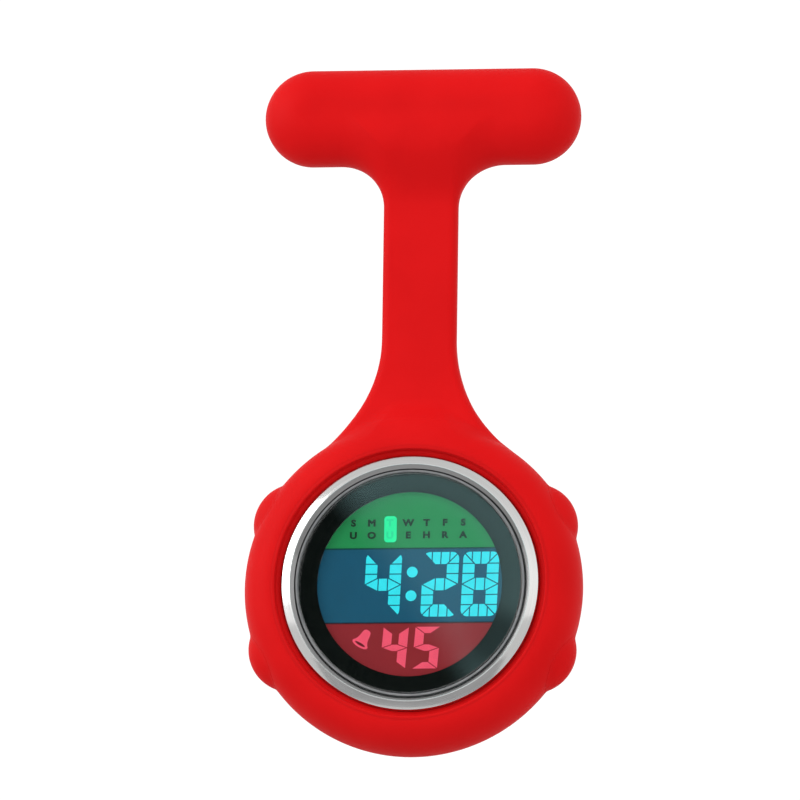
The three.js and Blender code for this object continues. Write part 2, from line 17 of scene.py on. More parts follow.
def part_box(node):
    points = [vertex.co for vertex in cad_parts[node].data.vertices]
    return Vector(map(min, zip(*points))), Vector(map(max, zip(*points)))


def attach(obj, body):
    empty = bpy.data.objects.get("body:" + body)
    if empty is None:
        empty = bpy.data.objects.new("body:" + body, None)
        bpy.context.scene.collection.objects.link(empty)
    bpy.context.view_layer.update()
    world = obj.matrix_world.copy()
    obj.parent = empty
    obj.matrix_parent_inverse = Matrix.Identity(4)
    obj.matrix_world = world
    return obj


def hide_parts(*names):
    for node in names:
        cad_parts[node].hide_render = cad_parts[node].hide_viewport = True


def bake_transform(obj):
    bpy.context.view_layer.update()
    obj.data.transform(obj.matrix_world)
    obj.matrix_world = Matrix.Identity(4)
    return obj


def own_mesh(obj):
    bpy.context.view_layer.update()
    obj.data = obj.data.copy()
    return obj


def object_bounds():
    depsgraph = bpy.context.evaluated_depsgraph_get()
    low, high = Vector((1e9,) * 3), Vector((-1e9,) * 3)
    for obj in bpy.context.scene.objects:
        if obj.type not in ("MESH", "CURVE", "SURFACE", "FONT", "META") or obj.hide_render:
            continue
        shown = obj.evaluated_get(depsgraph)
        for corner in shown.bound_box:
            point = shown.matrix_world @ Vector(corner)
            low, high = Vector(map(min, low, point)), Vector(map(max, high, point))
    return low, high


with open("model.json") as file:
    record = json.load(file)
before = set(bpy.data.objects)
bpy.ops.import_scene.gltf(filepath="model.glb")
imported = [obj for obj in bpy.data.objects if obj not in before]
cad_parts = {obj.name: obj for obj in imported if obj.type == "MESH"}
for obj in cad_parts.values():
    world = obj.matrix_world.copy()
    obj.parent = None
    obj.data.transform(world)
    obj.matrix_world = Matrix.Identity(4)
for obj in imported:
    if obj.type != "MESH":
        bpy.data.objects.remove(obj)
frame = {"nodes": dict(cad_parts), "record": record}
CAD_BOX = [list(corner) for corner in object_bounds()]
MM = 0.001


def box_of(node):
    """Lowest and highest corner of a CAD node, in millimetres."""
    low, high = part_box(node)
    return [value / MM for value in low], [value / MM for value in high]


def metres(point):
    """A point or a direction given in millimetres, in metres."""
    return tuple(value * MM for value in point)


def radius_of(node):
    """Half the width of a CAD node, in millimetres."""
    low, high = box_of(node)
    return (high[0] - low[0]) / 2


def depths_of(node):
    """The Y of a CAD node's front and of its back, in millimetres."""
    low, high = box_of(node)
    return low[1], high[1]


# ---------------------------------------------------------------- sizes from the frame

BAR_LOW, BAR_HIGH = box_of("jacket_bar")
RING_LOW, RING_HIGH = box_of("jacket_ring")
NECK_LOW, NECK_HIGH = box_of("jacket_neck")
BEZEL_LOW, BEZEL_HIGH = box_of("front_bezel")
FILM_LOW, FILM_HIGH = box_of("colour_film")
DIAL_Z = (BEZEL_LOW[2] + BEZEL_HIGH[2]) / 2
RING_RADIUS = radius_of("jacket_ring")
BEZEL_RADIUS = radius_of("front_bezel")
CRYSTAL_RADIUS = radius_of("crystal")
CRYSTAL_FRONT, CRYSTAL_BACK = depths_of("crystal")

# ---------------------------------------------------------------- sizes of the jacket

BAR_WAIST = -3.4
BAR_FLAT = 0.2
BAR_ROUNDING = 5
BACK_EDGE = 0.6
STRAP_HALF_WIDTH = 4.7
STRAP_EDGE = 0.95
STRAP_TOP = -4.5
BAR_FILLET = 5.8
FLARE_RADIUS = 18.5
RAMP_LENGTH = 13
RAMP_RISE = 2.8
TOUCH_TAPER = 6
JOIN_LEAST, JOIN_MOST = 0.3, 3.0
RING_WAIST = -6.4
FRONT_SHOULDER = 17.2
BACK_SHOULDER = 15.4
POCKET_RADIUS = 17.2
POCKET_FRONT, POCKET_BACK = -9.9, -2.1
MOUTH_RADIUS = 17.0
LIP_RADIUS = 16.23
CHANNEL_RADIUS = 16.86
CHANNEL_FLOOR = -10.15
BACK_MOUTH_RADIUS = 14.6
# Rooms in the pocket's wall for the caps of the four buttons.
CAP_ANGLES = {"upper_right": 28, "upper_left": 152, "lower_left": 208, "lower_right": 332}
CAP_Y = -5.9
CAP_ROOM_RADIUS = 2.25
CAP_ROOM_REACH = 19.15
EDGE = 0.3
HIDDEN_EDGE = 0.05
RECESS_LENGTH, RECESS_HEIGHT, RECESS_FLOOR = 33, 5.8, -3.7
CELL = 0.3
RELAX_ROUNDS = 3
FINE = 256  # segments round the pieces that show at the front


# ---------------------------------------------------------------- mesh helpers


def new_object(name, vertices, faces, smooth=True):
    """A mesh object from vertices in millimetres."""
    mesh = bpy.data.meshes.new(name)
    mesh.from_pydata([tuple(v) for v in np.asarray(vertices, float) * MM], [], faces)
    mesh.validate()
    mesh.update()
    mesh.polygons.foreach_set("use_smooth", [smooth] * len(mesh.polygons))
    piece = bpy.data.objects.new(name, mesh)
    bpy.context.scene.collection.objects.link(piece)
    return piece


def sharpen(piece, degrees):
    """Keeps an edge sharp where its faces turn by more than an angle."""
    piece.data.set_sharp_from_angle(angle=math.radians(degrees))


def finish_piece(piece, material, slot, body, *nodes):
    """Gives a piece its look, its body if it has one, and hides the CAD nodes it stands for."""
    piece.data.materials.append(material)
    if body:
        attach(piece, body)
    if nodes:
        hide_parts(*nodes)


def rounded(profile, radius, steps=4):
    """A closed profile with its corners rounded, each by an arc no larger than its sides allow."""
    result = []
    count = len(profile)
    for i in range(count):
        before, corner, after = (np.array(profile[(i + k) % count], float) for k in (-1, 0, 1))
        back, ahead = before - corner, after - corner
        room = min(np.linalg.norm(back), np.linalg.norm(ahead)) * 0.45
        back, ahead = back / np.linalg.norm(back), ahead / np.linalg.norm(ahead)
        half = math.acos(np.clip(back @ ahead, -1, 1)) / 2
        if half > math.radians(85):
            result.append(tuple(corner))
            continue
        reach = min(radius / math.tan(half), room)
        for step in range(steps + 1):
            t = step / steps
            start, end = corner + back * reach, corner + ahead * reach
            result.append(tuple((1 - t) ** 2 * start + 2 * t * (1 - t) * corner + t * t * end))
    return result


def grid_faces(rows, columns, closed=False):
    """Quads between rows of points. Each row is a loop, and closed joins the last to the first."""
    faces = []
    for row in range(rows if closed else rows - 1):
        here, there = row * columns, (row + 1) % rows * columns
        for k in range(columns):
            m = (k + 1) % columns
            faces.append((here + k, there + k, there + m, here + m))
    return faces


def lathe_mesh(profile, segments, centre):
    """Vertices and quads of a closed profile of [radius, y] pairs turned round an axis along Y."""
    angles = [2 * math.pi * i / segments for i in range(segments)]
    vertices = [
        (centre[0] + r * math.cos(a), y, centre[1] + r * math.sin(a)) for a in angles for r, y in profile
    ]
    return vertices, grid_faces(segments, len(profile), closed=True)


def turned(name, profile, segments, centre, sharp=35):
    """A closed profile of [radius, y] pairs turned round an axis along Y."""
    piece = new_object(name, *lathe_mesh(profile, segments, centre))
    outward(piece)
    sharpen(piece, sharp)
    return piece


def outward(piece):
    """Turns a closed mesh's faces outward and joins points that lie together."""
    mesh = bmesh.new()
    mesh.from_mesh(piece.data)
    bmesh.ops.remove_doubles(mesh, verts=mesh.verts, dist=1e-7)
    bmesh.ops.recalc_face_normals(mesh, faces=mesh.faces)
    if mesh.calc_volume(signed=True) < 0:
        bmesh.ops.reverse_faces(mesh, faces=mesh.faces)
    mesh.to_mesh(piece.data)
    mesh.free()


# ---------------------------------------------------------------- distance fields


def elliptic(beyond, off, across, deep):
    """Distance from a body whose edge is a quarter ellipse, near its surface."""
    u = np.maximum(beyond, 0) / across
    v = off / deep
    reach = np.sqrt(u * u + v * v)
    slope = np.sqrt((u / across) ** 2 + (v / deep) ** 2) / np.maximum(reach, 1e-6)
    return (reach - 1) / np.maximum(slope, 0.5 / max(across, deep))


def union(a, b, fillet):
    near_a = np.maximum(fillet - a, 0)
    near_b = np.maximum(fillet - b, 0)
    return np.maximum(fillet, np.minimum(a, b)) - np.sqrt(near_a**2 + near_b**2)


def common(a, b, rounding):
    near_a = np.maximum(rounding + a, 0)
    near_b = np.maximum(rounding + b, 0)
    return np.minimum(-rounding, np.maximum(a, b)) + np.sqrt(near_a**2 + near_b**2)


def stadium_distance(x, z, length, height):
    past = np.maximum(np.abs(x) - (length - height) / 2, 0)
    return np.sqrt(past**2 + z**2) - height / 2


def bar_field(x, y, z):
    height = BAR_HIGH[2] - BAR_LOW[2]
    outline = stadium_distance(x, z, BAR_HIGH[0] - BAR_LOW[0], height)
    depth = BAR_WAIST - BAR_LOW[1] - BAR_FLAT
    off = np.maximum(np.abs(y - BAR_WAIST) - BAR_FLAT, 0)
    return elliptic(outline + BAR_ROUNDING, off, BAR_ROUNDING, depth)


def strap_outline(x, z):
    """Distance from the strap's outline, which flares out to the ring's, and past their touch."""
    side = np.abs(x)
    flare_x = STRAP_HALF_WIDTH + FLARE_RADIUS
    reach = RING_RADIUS + FLARE_RADIUS
    flare_z = math.sqrt(reach**2 - flare_x**2) + DIAL_Z
    straight = side - STRAP_HALF_WIDTH
    flared = FLARE_RADIUS - np.hypot(side - flare_x, z - flare_z)
    turn = math.asin((flare_z - DIAL_Z) / reach)
    past_touch = side * math.sin(turn) - (z - DIAL_Z) * math.cos(turn)
    below = np.maximum(flared, past_touch)
    outline = np.maximum(np.where(z >= flare_z, straight, below), z - STRAP_TOP)
    return outline, past_touch


def strap_field(x, y, z, outline, past_touch):
    above_ring = np.hypot(x, z - DIAL_Z) - RING_RADIUS
    rise = np.clip((RAMP_LENGTH - above_ring) / RAMP_LENGTH, 0, 1)
    front = NECK_LOW[1] - RAMP_RISE * rise**2
    back = NECK_HIGH[1]
    keep = np.sqrt(np.clip(-past_touch / TOUCH_TAPER, 0.04, 1))
    middle = RING_WAIST + ((front + back) / 2 - RING_WAIST) * keep
    across = outline + STRAP_EDGE
    deep = np.abs(y - middle) - (back - front) / 2 * keep + STRAP_EDGE
    clear_of_painted_shade = np.sqrt(np.maximum(across, 0) ** 2 + np.maximum(deep, 0) ** 2)
    return clear_of_painted_shade + np.minimum(np.maximum(across, deep), 0) - STRAP_EDGE


def ring_field(radius, y):
    off = np.abs(y - RING_WAIST)
    front = elliptic(
        radius - FRONT_SHOULDER, off, RING_RADIUS - FRONT_SHOULDER, RING_WAIST - RING_LOW[1]
    )
    back = elliptic(radius - BACK_SHOULDER, off, RING_RADIUS - BACK_SHOULDER, RING_HIGH[1] - RING_WAIST)
    return np.where(y < RING_WAIST, front, back)


def pocket_field(x, y, z, radius):
    """The room for the watch head and its button caps, with its mouth at the back."""
    room = np.maximum(radius - POCKET_RADIUS, np.maximum(POCKET_FRONT - y, y - POCKET_BACK))
    back = np.maximum(radius - BACK_MOUTH_RADIUS, POCKET_BACK - EDGE - y)
    field = np.minimum(room, back)
    for angle in CAP_ANGLES.values():
        c, s = math.cos(math.radians(angle)), math.sin(math.radians(angle))
        along = x * c + (z - DIAL_Z) * s
        off = np.hypot(x * s - (z - DIAL_Z) * c, y - CAP_Y)
        cap_room = np.maximum(off - CAP_ROOM_RADIUS, np.maximum(along - CAP_ROOM_REACH, -along))
        field = np.minimum(field, cap_room)
    return field


def mouth_field(radius, y):
    """The pocket's mouth at the front, whose edge the separate lip covers."""
    return np.maximum(radius - MOUTH_RADIUS, y - POCKET_FRONT - EDGE)


def recess_field(x, y, z):
    return np.maximum(stadium_distance(x, z, RECESS_LENGTH, RECESS_HEIGHT), RECESS_FLOOR - y)


def jacket_field(x, y, z):
    """Signed distance, near the surface, from the whole silicone moulding."""
    outline, past_touch = strap_outline(x, z)
    strap = strap_field(x, y, z, outline, past_touch)
    upper = union(bar_field(x, y, z), strap, BAR_FILLET)
    upper = common(upper, y, BACK_EDGE)
    upper = common(upper, -recess_field(x, y, z), EDGE)
    radius = np.hypot(x, z - DIAL_Z)
    join = np.clip(-0.8 * outline, JOIN_LEAST, JOIN_MOST)
    body = union(upper, ring_field(radius, y), join)
    body = common(body, -pocket_field(x, y, z, radius), EDGE)
    return common(body, -mouth_field(radius, y), HIDDEN_EDGE)


# ---------------------------------------------------------------- a mesh from a field


def net_cells(value, axis):
    """Where the grid lines along one axis cross the surface: a mask and the share of the way."""
    count = value.shape[axis]
    near = np.take(value, range(count - 1), axis)
    far = np.take(value, range(1, count), axis)
    crossed = (near < 0) != (far < 0)
    share = np.where(crossed, near / np.where(crossed, near - far, 1), 0)
    return crossed, share, near < 0


def surface_net(field, low, high, cell):
    """Vertices and quads of the surface where the field is zero, one vertex per crossed cell."""
    axes = [np.arange(a - 2.5 * cell, b + 2.5 * cell, cell) for a, b in zip(low, high)]
    value = field(*np.meshgrid(*axes, indexing="ij"))
    shape = tuple(n - 1 for n in value.shape)
    total = np.zeros(shape + (3,))
    hits = np.zeros(shape)
    crossings = []
    for axis in range(3):
        crossed, share, from_inside = net_cells(value, axis)
        places = np.stack(np.indices(crossed.shape), -1).astype(float)
        places[..., axis] += share
        places *= crossed[..., None]
        others = [k for k in range(3) if k != axis]
        for shift in ((0, 0), (0, 1), (1, 0), (1, 1)):
            part = [slice(None)] * 3
            for k, by in zip(others, shift):
                part[k] = slice(by, shape[k] + by)
            total += places[tuple(part)]
            hits += crossed[tuple(part)]
        crossings.append((axis, crossed, from_inside))
    active = hits > 0
    number = np.full(shape, -1)
    number[active] = np.arange(active.sum())
    start = np.array([line[0] for line in axes])
    vertices = total[active] / hits[active][:, None] * cell + start
    quads = [net_quads(number, *crossing) for crossing in crossings]
    return vertices, np.concatenate(quads)


def net_quads(number, axis, crossed, from_inside):
    """One quad for each crossed grid line, through the four cells round it."""
    u, v = (axis + 1) % 3, (axis + 2) % 3
    at = np.argwhere(crossed)
    keep = (at[:, u] > 0) & (at[:, v] > 0)
    keep &= (at[:, u] < number.shape[u]) & (at[:, v] < number.shape[v])
    at = at[keep]
    corners = []
    for du, dv in ((1, 1), (0, 1), (0, 0), (1, 0)):
        place = at.copy()
        place[:, u] -= du
        place[:, v] -= dv
        corners.append(number[tuple(place.T)])
    quads = np.stack(corners, -1)
    flip = ~from_inside[tuple(at.T)]
    quads[flip] = quads[flip][:, ::-1]
    return quads


def onto_surface(field, points, rounds=3, step=0.02):
    """Moves points along the field's slope until the field is zero there."""
    for _ in range(rounds):
        value = field(*points.T)
        slope = np.stack(
            [
                (field(*(points + shift).T) - field(*(points - shift).T)) / (2 * step)
                for shift in np.eye(3) * step
            ],
            -1,
        )
        size = np.maximum((slope**2).sum(-1), 0.05)
        points = points - np.clip(value / size, -CELL, CELL)[:, None] * slope
    return points


def relaxed(field, points, quads, rounds):
    """Evens out a quad mesh along its surface."""
    pairs = np.concatenate([quads[:, [k, (k + 1) % 4]] for k in range(4)])
    pairs = np.concatenate([pairs, pairs[:, ::-1]])
    count = np.bincount(pairs[:, 0], minlength=len(points))[:, None]
    for _ in range(rounds):
        sums = np.stack(
            [np.bincount(pairs[:, 0], points[pairs[:, 1], k], len(points)) for k in range(3)], -1
        )
        points = onto_surface(field, (points + sums / np.maximum(count, 1)) / 2, 2)
    return points


# ---------------------------------------------------------------- material helpers


BLACK = (0, 0, 0, 1)


def set_stops(ramp, stops):
    """Gives a colour ramp its stops, as pairs of a position and a colour."""
    while len(ramp.elements) < len(stops):
        ramp.elements.new(0.5)
    for element, (position, colour) in zip(ramp.elements, stops):
        element.position = position
        element.color = (*colour, 1)


class Surface:
    """A node material with a Principled shader and short ways to add the usual nodes."""

    def __init__(self, name, **constants):
        self.material = bpy.data.materials.new(name)
        self.material.use_nodes = True
        self.tree = self.material.node_tree
        self.shader = self.tree.nodes["Principled BSDF"]
        self.place = self.add("ShaderNodeTexCoord").outputs["Object"]
        for socket, value in constants.items():
            self.shader.inputs[socket.replace("_", " ")].default_value = value

    def add(self, kind, inputs=None, **settings):
        node = self.tree.nodes.new(kind)
        for key, value in settings.items():
            setattr(node, key, value)
        for key, value in (inputs or {}).items():
            self.set(node.inputs[key], value)
        return node

    def set(self, socket, value):
        if isinstance(value, bpy.types.NodeSocket):
            self.tree.links.new(value, socket)
        else:
            socket.default_value = value

    def math(self, operation, *values):
        return self.add("ShaderNodeMath", dict(enumerate(values)), operation=operation).outputs[0]

    def noise(self, scale, detail=3, vector=None):
        inputs = {"Vector": vector or self.place, "Scale": scale, "Detail": detail, "Roughness": 0.55}
        return self.add("ShaderNodeTexNoise", inputs).outputs["Fac"]

    def ramp(self, factor, stops):
        node = self.add("ShaderNodeValToRGB", {"Fac": factor})
        set_stops(node.color_ramp, stops)
        return node.outputs["Color"]

    def mixed(self, factor, low, high):
        """A colour between two, by a factor."""
        inputs = {0: factor, 6: low, 7: high}
        return self.add("ShaderNodeMix", inputs, data_type="RGBA").outputs[2]

    def mapped(self, value, low, high, to_low=0, to_high=1, **settings):
        """A value that goes from low to high, mapped to another range and held at its ends."""
        inputs = {"Value": value, "From Min": low, "From Max": high, "To Min": to_low, "To Max": to_high}
        return self.add("ShaderNodeMapRange", inputs, **settings).outputs["Result"]

    def between(self, noise, low, high):
        """A noise, which stays near 0.5, mapped to a range."""
        return self.mapped(noise, 0.3, 0.7, low, high)

    def colour(self, value):
        self.set(self.shader.inputs["Base Color"], value)

    def roughness(self, value):
        self.set(self.shader.inputs["Roughness"], value)

    def glow(self, colour, strength):
        self.set(self.shader.inputs["Emission Color"], colour)
        self.shader.inputs["Emission Strength"].default_value = strength

    def bump(self, height, depth):
        """Relief of a depth in millimetres."""
        node = self.add("ShaderNodeBump", {"Height": height, "Distance": depth * MM, "Strength": 1})
        self.set(self.shader.inputs["Normal"], node.outputs["Normal"])

    def axes(self):
        """The place's X, Y and Z, in metres."""
        return self.add("ShaderNodeSeparateXYZ", {"Vector": self.place}).outputs

    def length(self, a, b):
        squares = self.math("ADD", self.math("MULTIPLY", a, a), self.math("MULTIPLY", b, b))
        return self.math("SQRT", squares)

    def dial_place(self):
        """Distance from the dial's axis and angle round it, in metres and radians."""
        across, up = self.axes()["X"], self.math("SUBTRACT", self.axes()["Z"], DIAL_Z * MM)
        return self.length(across, up), self.math("ARCTAN2", up, across)

    def vector(self, x, y, z):
        return self.add("ShaderNodeCombineXYZ", {0: x, 1: y, 2: z}).outputs[0]


def grained(name, dark, light, rough, grain, depth, patches=None, **constants):
    """A surface with a fine grain of a size in millimetres, in relief, colour and roughness."""
    surface = Surface(name, **constants)
    fine = surface.noise(1 / (grain * MM))
    broad = surface.noise(1 / ((patches or 12 * grain) * MM), detail=2)
    surface.colour(surface.ramp(broad, [(0.3, dark), (0.7, light)]))
    surface.roughness(surface.between(fine, *rough))
    surface.bump(fine, depth)
    return surface


def brushed_round(name, dark, light, rough, ring, depth, **constants):
    """Metal with the fine rings that turning or brushing on a lathe leaves round the dial's axis."""
    surface = Surface(name, Metallic=1.0, **constants)
    radius, angle = surface.dial_place()
    along = surface.vector(
        surface.math("MULTIPLY", radius, 1 / (ring * MM)), surface.math("MULTIPLY", angle, 1.5), 0.0
    )
    rings = surface.noise(1.0, detail=4, vector=along)
    surface.colour(surface.ramp(rings, [(0.3, dark), (0.7, light)]))
    surface.roughness(surface.between(rings, *rough))
    surface.bump(rings, depth)
    return surface


# ---------------------------------------------------------------- materials


def silicone():
    return grained(
        "red_silicone",
        dark=(0.605, 0.0028, 0.0038),
        light=(0.65, 0.0038, 0.0048),
        rough=(0.5, 0.6),
        grain=0.12,
        depth=0.0025,
        patches=9,
        Specular_IOR_Level=0.08,
        Sheen_Weight=0.07,
        Sheen_Roughness=0.32,
        Sheen_Tint=(1.0, 0.35, 0.33, 1),
        Subsurface_Weight=0.15,
        Subsurface_Radius=(1.0, 0.15, 0.1),
        Subsurface_Scale=1.2 * MM,
    ).material


def crystal_glass():
    """Clear glass that lets the lamps through to the display, as flat glass does."""
    surface = Surface("mineral_glass", Transmission_Weight=1.0, IOR=1.5, Roughness=0)
    surface.colour(surface.ramp(surface.noise(90), [(0.3, (0.95, 0.985, 0.98)), (0.7, (0.97, 1, 0.99))]))
    clear = surface.add("ShaderNodeBsdfTransparent", {"Color": (0.95, 0.97, 0.97, 1)})
    path = surface.add("ShaderNodeLightPath")
    mix = surface.add("ShaderNodeMixShader", {"Fac": path.outputs["Is Shadow Ray"]})
    output = surface.tree.nodes["Material Output"]
    surface.tree.links.new(surface.shader.outputs[0], mix.inputs[1])
    surface.tree.links.new(clear.outputs[0], mix.inputs[2])
    surface.tree.links.new(mix.outputs[0], output.inputs["Surface"])
    return surface.material


# Heights over the dial's middle of the two lines between the film's bands.
GREEN_TO_BLUE = 4.63
BLUE_TO_RED = -4.79
BAND_COLOURS = {
    "red": (0.185, 0.015, 0.019),
    "blue": (0.009, 0.062, 0.11),
    "green": (0.014, 0.18, 0.055),
}
FILM_GLOW = 0.55
BAND_LINE, BAND_LINE_CORE = 0.07, 0.02


def band_film():
    """The colour film: red, blue and green bands, with a thin dark line where they meet."""
    surface = Surface("colour_bands", Specular_IOR_Level=0.03)
    half = (FILM_HIGH[2] - FILM_LOW[2]) / 2
    above_low = surface.math("SUBTRACT", surface.axes()["Z"], FILM_LOW[2] * MM)
    share = surface.math("DIVIDE", above_low, 2 * half * MM)
    line, edge = BAND_LINE / half, BAND_LINE_CORE / half
    stops = [(0.0, BAND_COLOURS["red"])]
    for level, below, above in ((BLUE_TO_RED, "red", "blue"), (GREEN_TO_BLUE, "blue", "green")):
        at = (level + half) / (2 * half)
        dark = tuple(0.5 * min(a, b) for a, b in zip(BAND_COLOURS[below], BAND_COLOURS[above]))
        stops += [
            (at - line, BAND_COLOURS[below]),
            (at - edge, dark),
            (at + edge, dark),
            (at + line, BAND_COLOURS[above]),
        ]
    haze = surface.between(surface.noise(160, detail=2), 0.0, 0.05)
    mottled = surface.mixed(haze, surface.ramp(share, stops), (0.02, 0.05, 0.06, 1))
    surface.colour(mottled)
    surface.glow(mottled, FILM_GLOW)
    surface.roughness(surface.between(surface.noise(3000), 0.35, 0.45))
    return surface.material


LEAST_GLOW = 0.94


def lit_ink(name, colour, glow):
    """A part of the display that the backlight shines through."""
    surface = Surface(name, Specular_IOR_Level=0.03, Roughness=0.5)
    dimmer = tuple(value * LEAST_GLOW for value in colour)
    grey = surface.noise(700)
    surface.colour(surface.ramp(grey, [(0, (0.01, 0.01, 0.01)), (1, (0.02, 0.02, 0.02))]))
    tint = surface.ramp(surface.noise(700, detail=1), [(0.35, dimmer), (0.65, colour)])
    surface.glow(tint, glow)
    return surface.material


# Inside this radius the bezel's chamfer is painted a dark grey, a painted shade.
CHAMFER_RADIUS, CHAMFER_BLUR = 14.95, 0.04


def bezel_metal():
    """Polished metal, with a painted shade on the chamfer inside the bezel's crest: its colour is a dark
    grey.
    """
    surface = brushed_round(
        "polished_bezel", (0.7, 0.695, 0.685), (0.8, 0.8, 0.79), (0.08, 0.16), 0.07, 0.0006
    )
    limits = metres((CHAMFER_RADIUS - CHAMFER_BLUR, CHAMFER_RADIUS + CHAMFER_BLUR))
    clear_of_painted_shade = surface.mapped(surface.dial_place()[0], *limits)
    polished = surface.shader.inputs["Base Color"].links[0].from_socket
    # Painted shade: inside the chamfer's radius the colour is mixed to a dark grey.
    surface.colour(surface.mixed(clear_of_painted_shade, (0.3, 0.3, 0.3, 1), polished))
    return surface


# For each slot: a name, the darkest and lightest colour, the range of roughness, and the size and
# relief of the grain in millimetres.
METALS = {
    "pin_steel": ("nickel_pin", (0.62, 0.61, 0.585), (0.76, 0.75, 0.73), (0.16, 0.28), 0.25, 0.0015),
    "spring_steel": ("spring_wire", (0.5, 0.48, 0.43), (0.64, 0.62, 0.56), (0.25, 0.4), 0.1, 0.001),
    "screw_steel": ("screw_metal", (0.46, 0.46, 0.465), (0.62, 0.62, 0.62), (0.22, 0.36), 0.08, 0.0012),
    "brass": ("plain_brass", (0.5, 0.31, 0.07), (0.66, 0.43, 0.12), (0.3, 0.45), 0.2, 0.002),
}
NON_METALS = {
    "case_plastic": (
        "black_plastic", (0.009, 0.009, 0.01), (0.018, 0.018, 0.019), (0.42, 0.6), 0.08, 0.003
    ),
    "frame_plastic": ("grey_plastic", (0.17, 0.175, 0.18), (0.23, 0.235, 0.24), (0.45, 0.6), 0.1, 0.002),
    "seal_rubber": ("black_rubber", (0.01, 0.01, 0.01), (0.02, 0.02, 0.02), (0.65, 0.85), 0.06, 0.004),
    "display_glass": (
        "display_glass", (0.016, 0.035, 0.05), (0.026, 0.05, 0.07), (0.05, 0.12), 0.5, 0.0003
    ),
    "light_guide": ("frosted_acrylic", (0.82, 0.85, 0.82), (0.9, 0.92, 0.9), (0.3, 0.45), 0.15, 0.002),
    "led": ("lamp_resin", (0.9, 0.82, 0.45), (0.97, 0.93, 0.7), (0.2, 0.35), 0.2, 0.002),
    "board": ("solder_mask", (0.008, 0.085, 0.025), (0.014, 0.14, 0.045), (0.3, 0.45), 0.12, 0.003),
    "chip": ("chip_epoxy", (0.005, 0.005, 0.006), (0.01, 0.01, 0.011), (0.5, 0.7), 0.05, 0.003),
}
PRINT = ("black_print", (0.0025, 0.0034, 0.0027), (0.0035, 0.0045, 0.0036), (0.4, 0.5), 0.15, 0.0002)


def plain_materials():
    """The finishes that CAD nodes and small pieces share, by the record's slot."""
    finishes = {slot: grained(*look, Metallic=1.0) for slot, look in METALS.items()}
    finishes |= {slot: grained(*look) for slot, look in NON_METALS.items()}
    finishes["mask_ink"] = grained(*PRINT, Specular_IOR_Level=0.03)
    finishes["bezel_steel"] = bezel_metal()
    finishes["back_steel"] = brushed_round(
        "brushed_back", (0.5, 0.5, 0.495), (0.68, 0.68, 0.67), (0.24, 0.4), 0.09, 0.003
    )
    return {slot: surface.material for slot, surface in finishes.items()}


# ---------------------------------------------------------------- silicone pieces

BUMP_ANGLES = {"upper_right": 27.6, "upper_left": 151, "lower_left": 206, "lower_right": 332.4}
BUMP_ARC, BUMP_DEPTH, BUMP_HEIGHT = 3.75, 3.1, 1.2
BUMP_FOOT = 1.1
BUMP_SOFTNESS = 0.12
BUMP_SINK = 0.3


# The lip's bead outside the channel: radius, and height behind the ring's front.
LIP_BEAD = (
    (17.6, 0.5),
    (17.44, 0.03),
    (17.34, -0.01),
    (17.2, -0.04),
    (17.08, -0.045),
    (16.99, -0.005),
    (16.96, 0.07),
)


def lip_mesh():
    """The edge of the jacket's front opening: a narrow channel round the bezel, with its floor."""
    profile = [(radius, RING_LOW[1] + behind) for radius, behind in LIP_BEAD]
    profile += [
        (CHANNEL_RADIUS, CHANNEL_FLOOR - 0.15),
        (CHANNEL_RADIUS - 0.03, CHANNEL_FLOOR - 0.05),
        (CHANNEL_RADIUS - 0.12, CHANNEL_FLOOR),
        (LIP_RADIUS, CHANNEL_FLOOR + 0.05),
        (LIP_RADIUS, POCKET_FRONT),
        (17.4, POCKET_FRONT + 0.05),
    ]
    return lathe_mesh(profile, FINE, (0, DIAL_Z))


def jacket(material):
    """The whole silicone moulding, as one piece with no body."""
    high = (RING_HIGH[0], BAR_HIGH[1], BAR_HIGH[2])
    points, quads = surface_net(jacket_field, RING_LOW, high, CELL)
    points = onto_surface(jacket_field, points)
    points = relaxed(jacket_field, points, quads, RELAX_ROUNDS)
    lip_points, lip_faces = lip_mesh()
    lip_faces = (np.array(lip_faces) + len(points)).tolist()
    points = np.concatenate([points, lip_points])
    piece = new_object("silicone_jacket", points, quads.tolist() + lip_faces)
    finish_piece(piece, material, "silicone", None, "jacket_bar", "jacket_neck", "jacket_ring")
    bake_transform(piece)


def ring_radius_at(y):
    """The ring's outer radius at a depth."""
    if y < RING_WAIST:
        shoulder, depth = FRONT_SHOULDER, RING_WAIST - RING_LOW[1]
    else:
        shoulder, depth = BACK_SHOULDER, RING_HIGH[1] - RING_WAIST
    off = (y - RING_WAIST) / depth
    return shoulder + (RING_RADIUS - shoulder) * math.sqrt(max(1 - off * off, 0))


def at_button(turn, out, y, across=0):
    """A point by its distance out along a button's direction, its depth and its way sideways."""
    c, s = math.cos(turn), math.sin(turn)
    return (out * c - across * s, y, DIAL_Z + out * s + across * c)


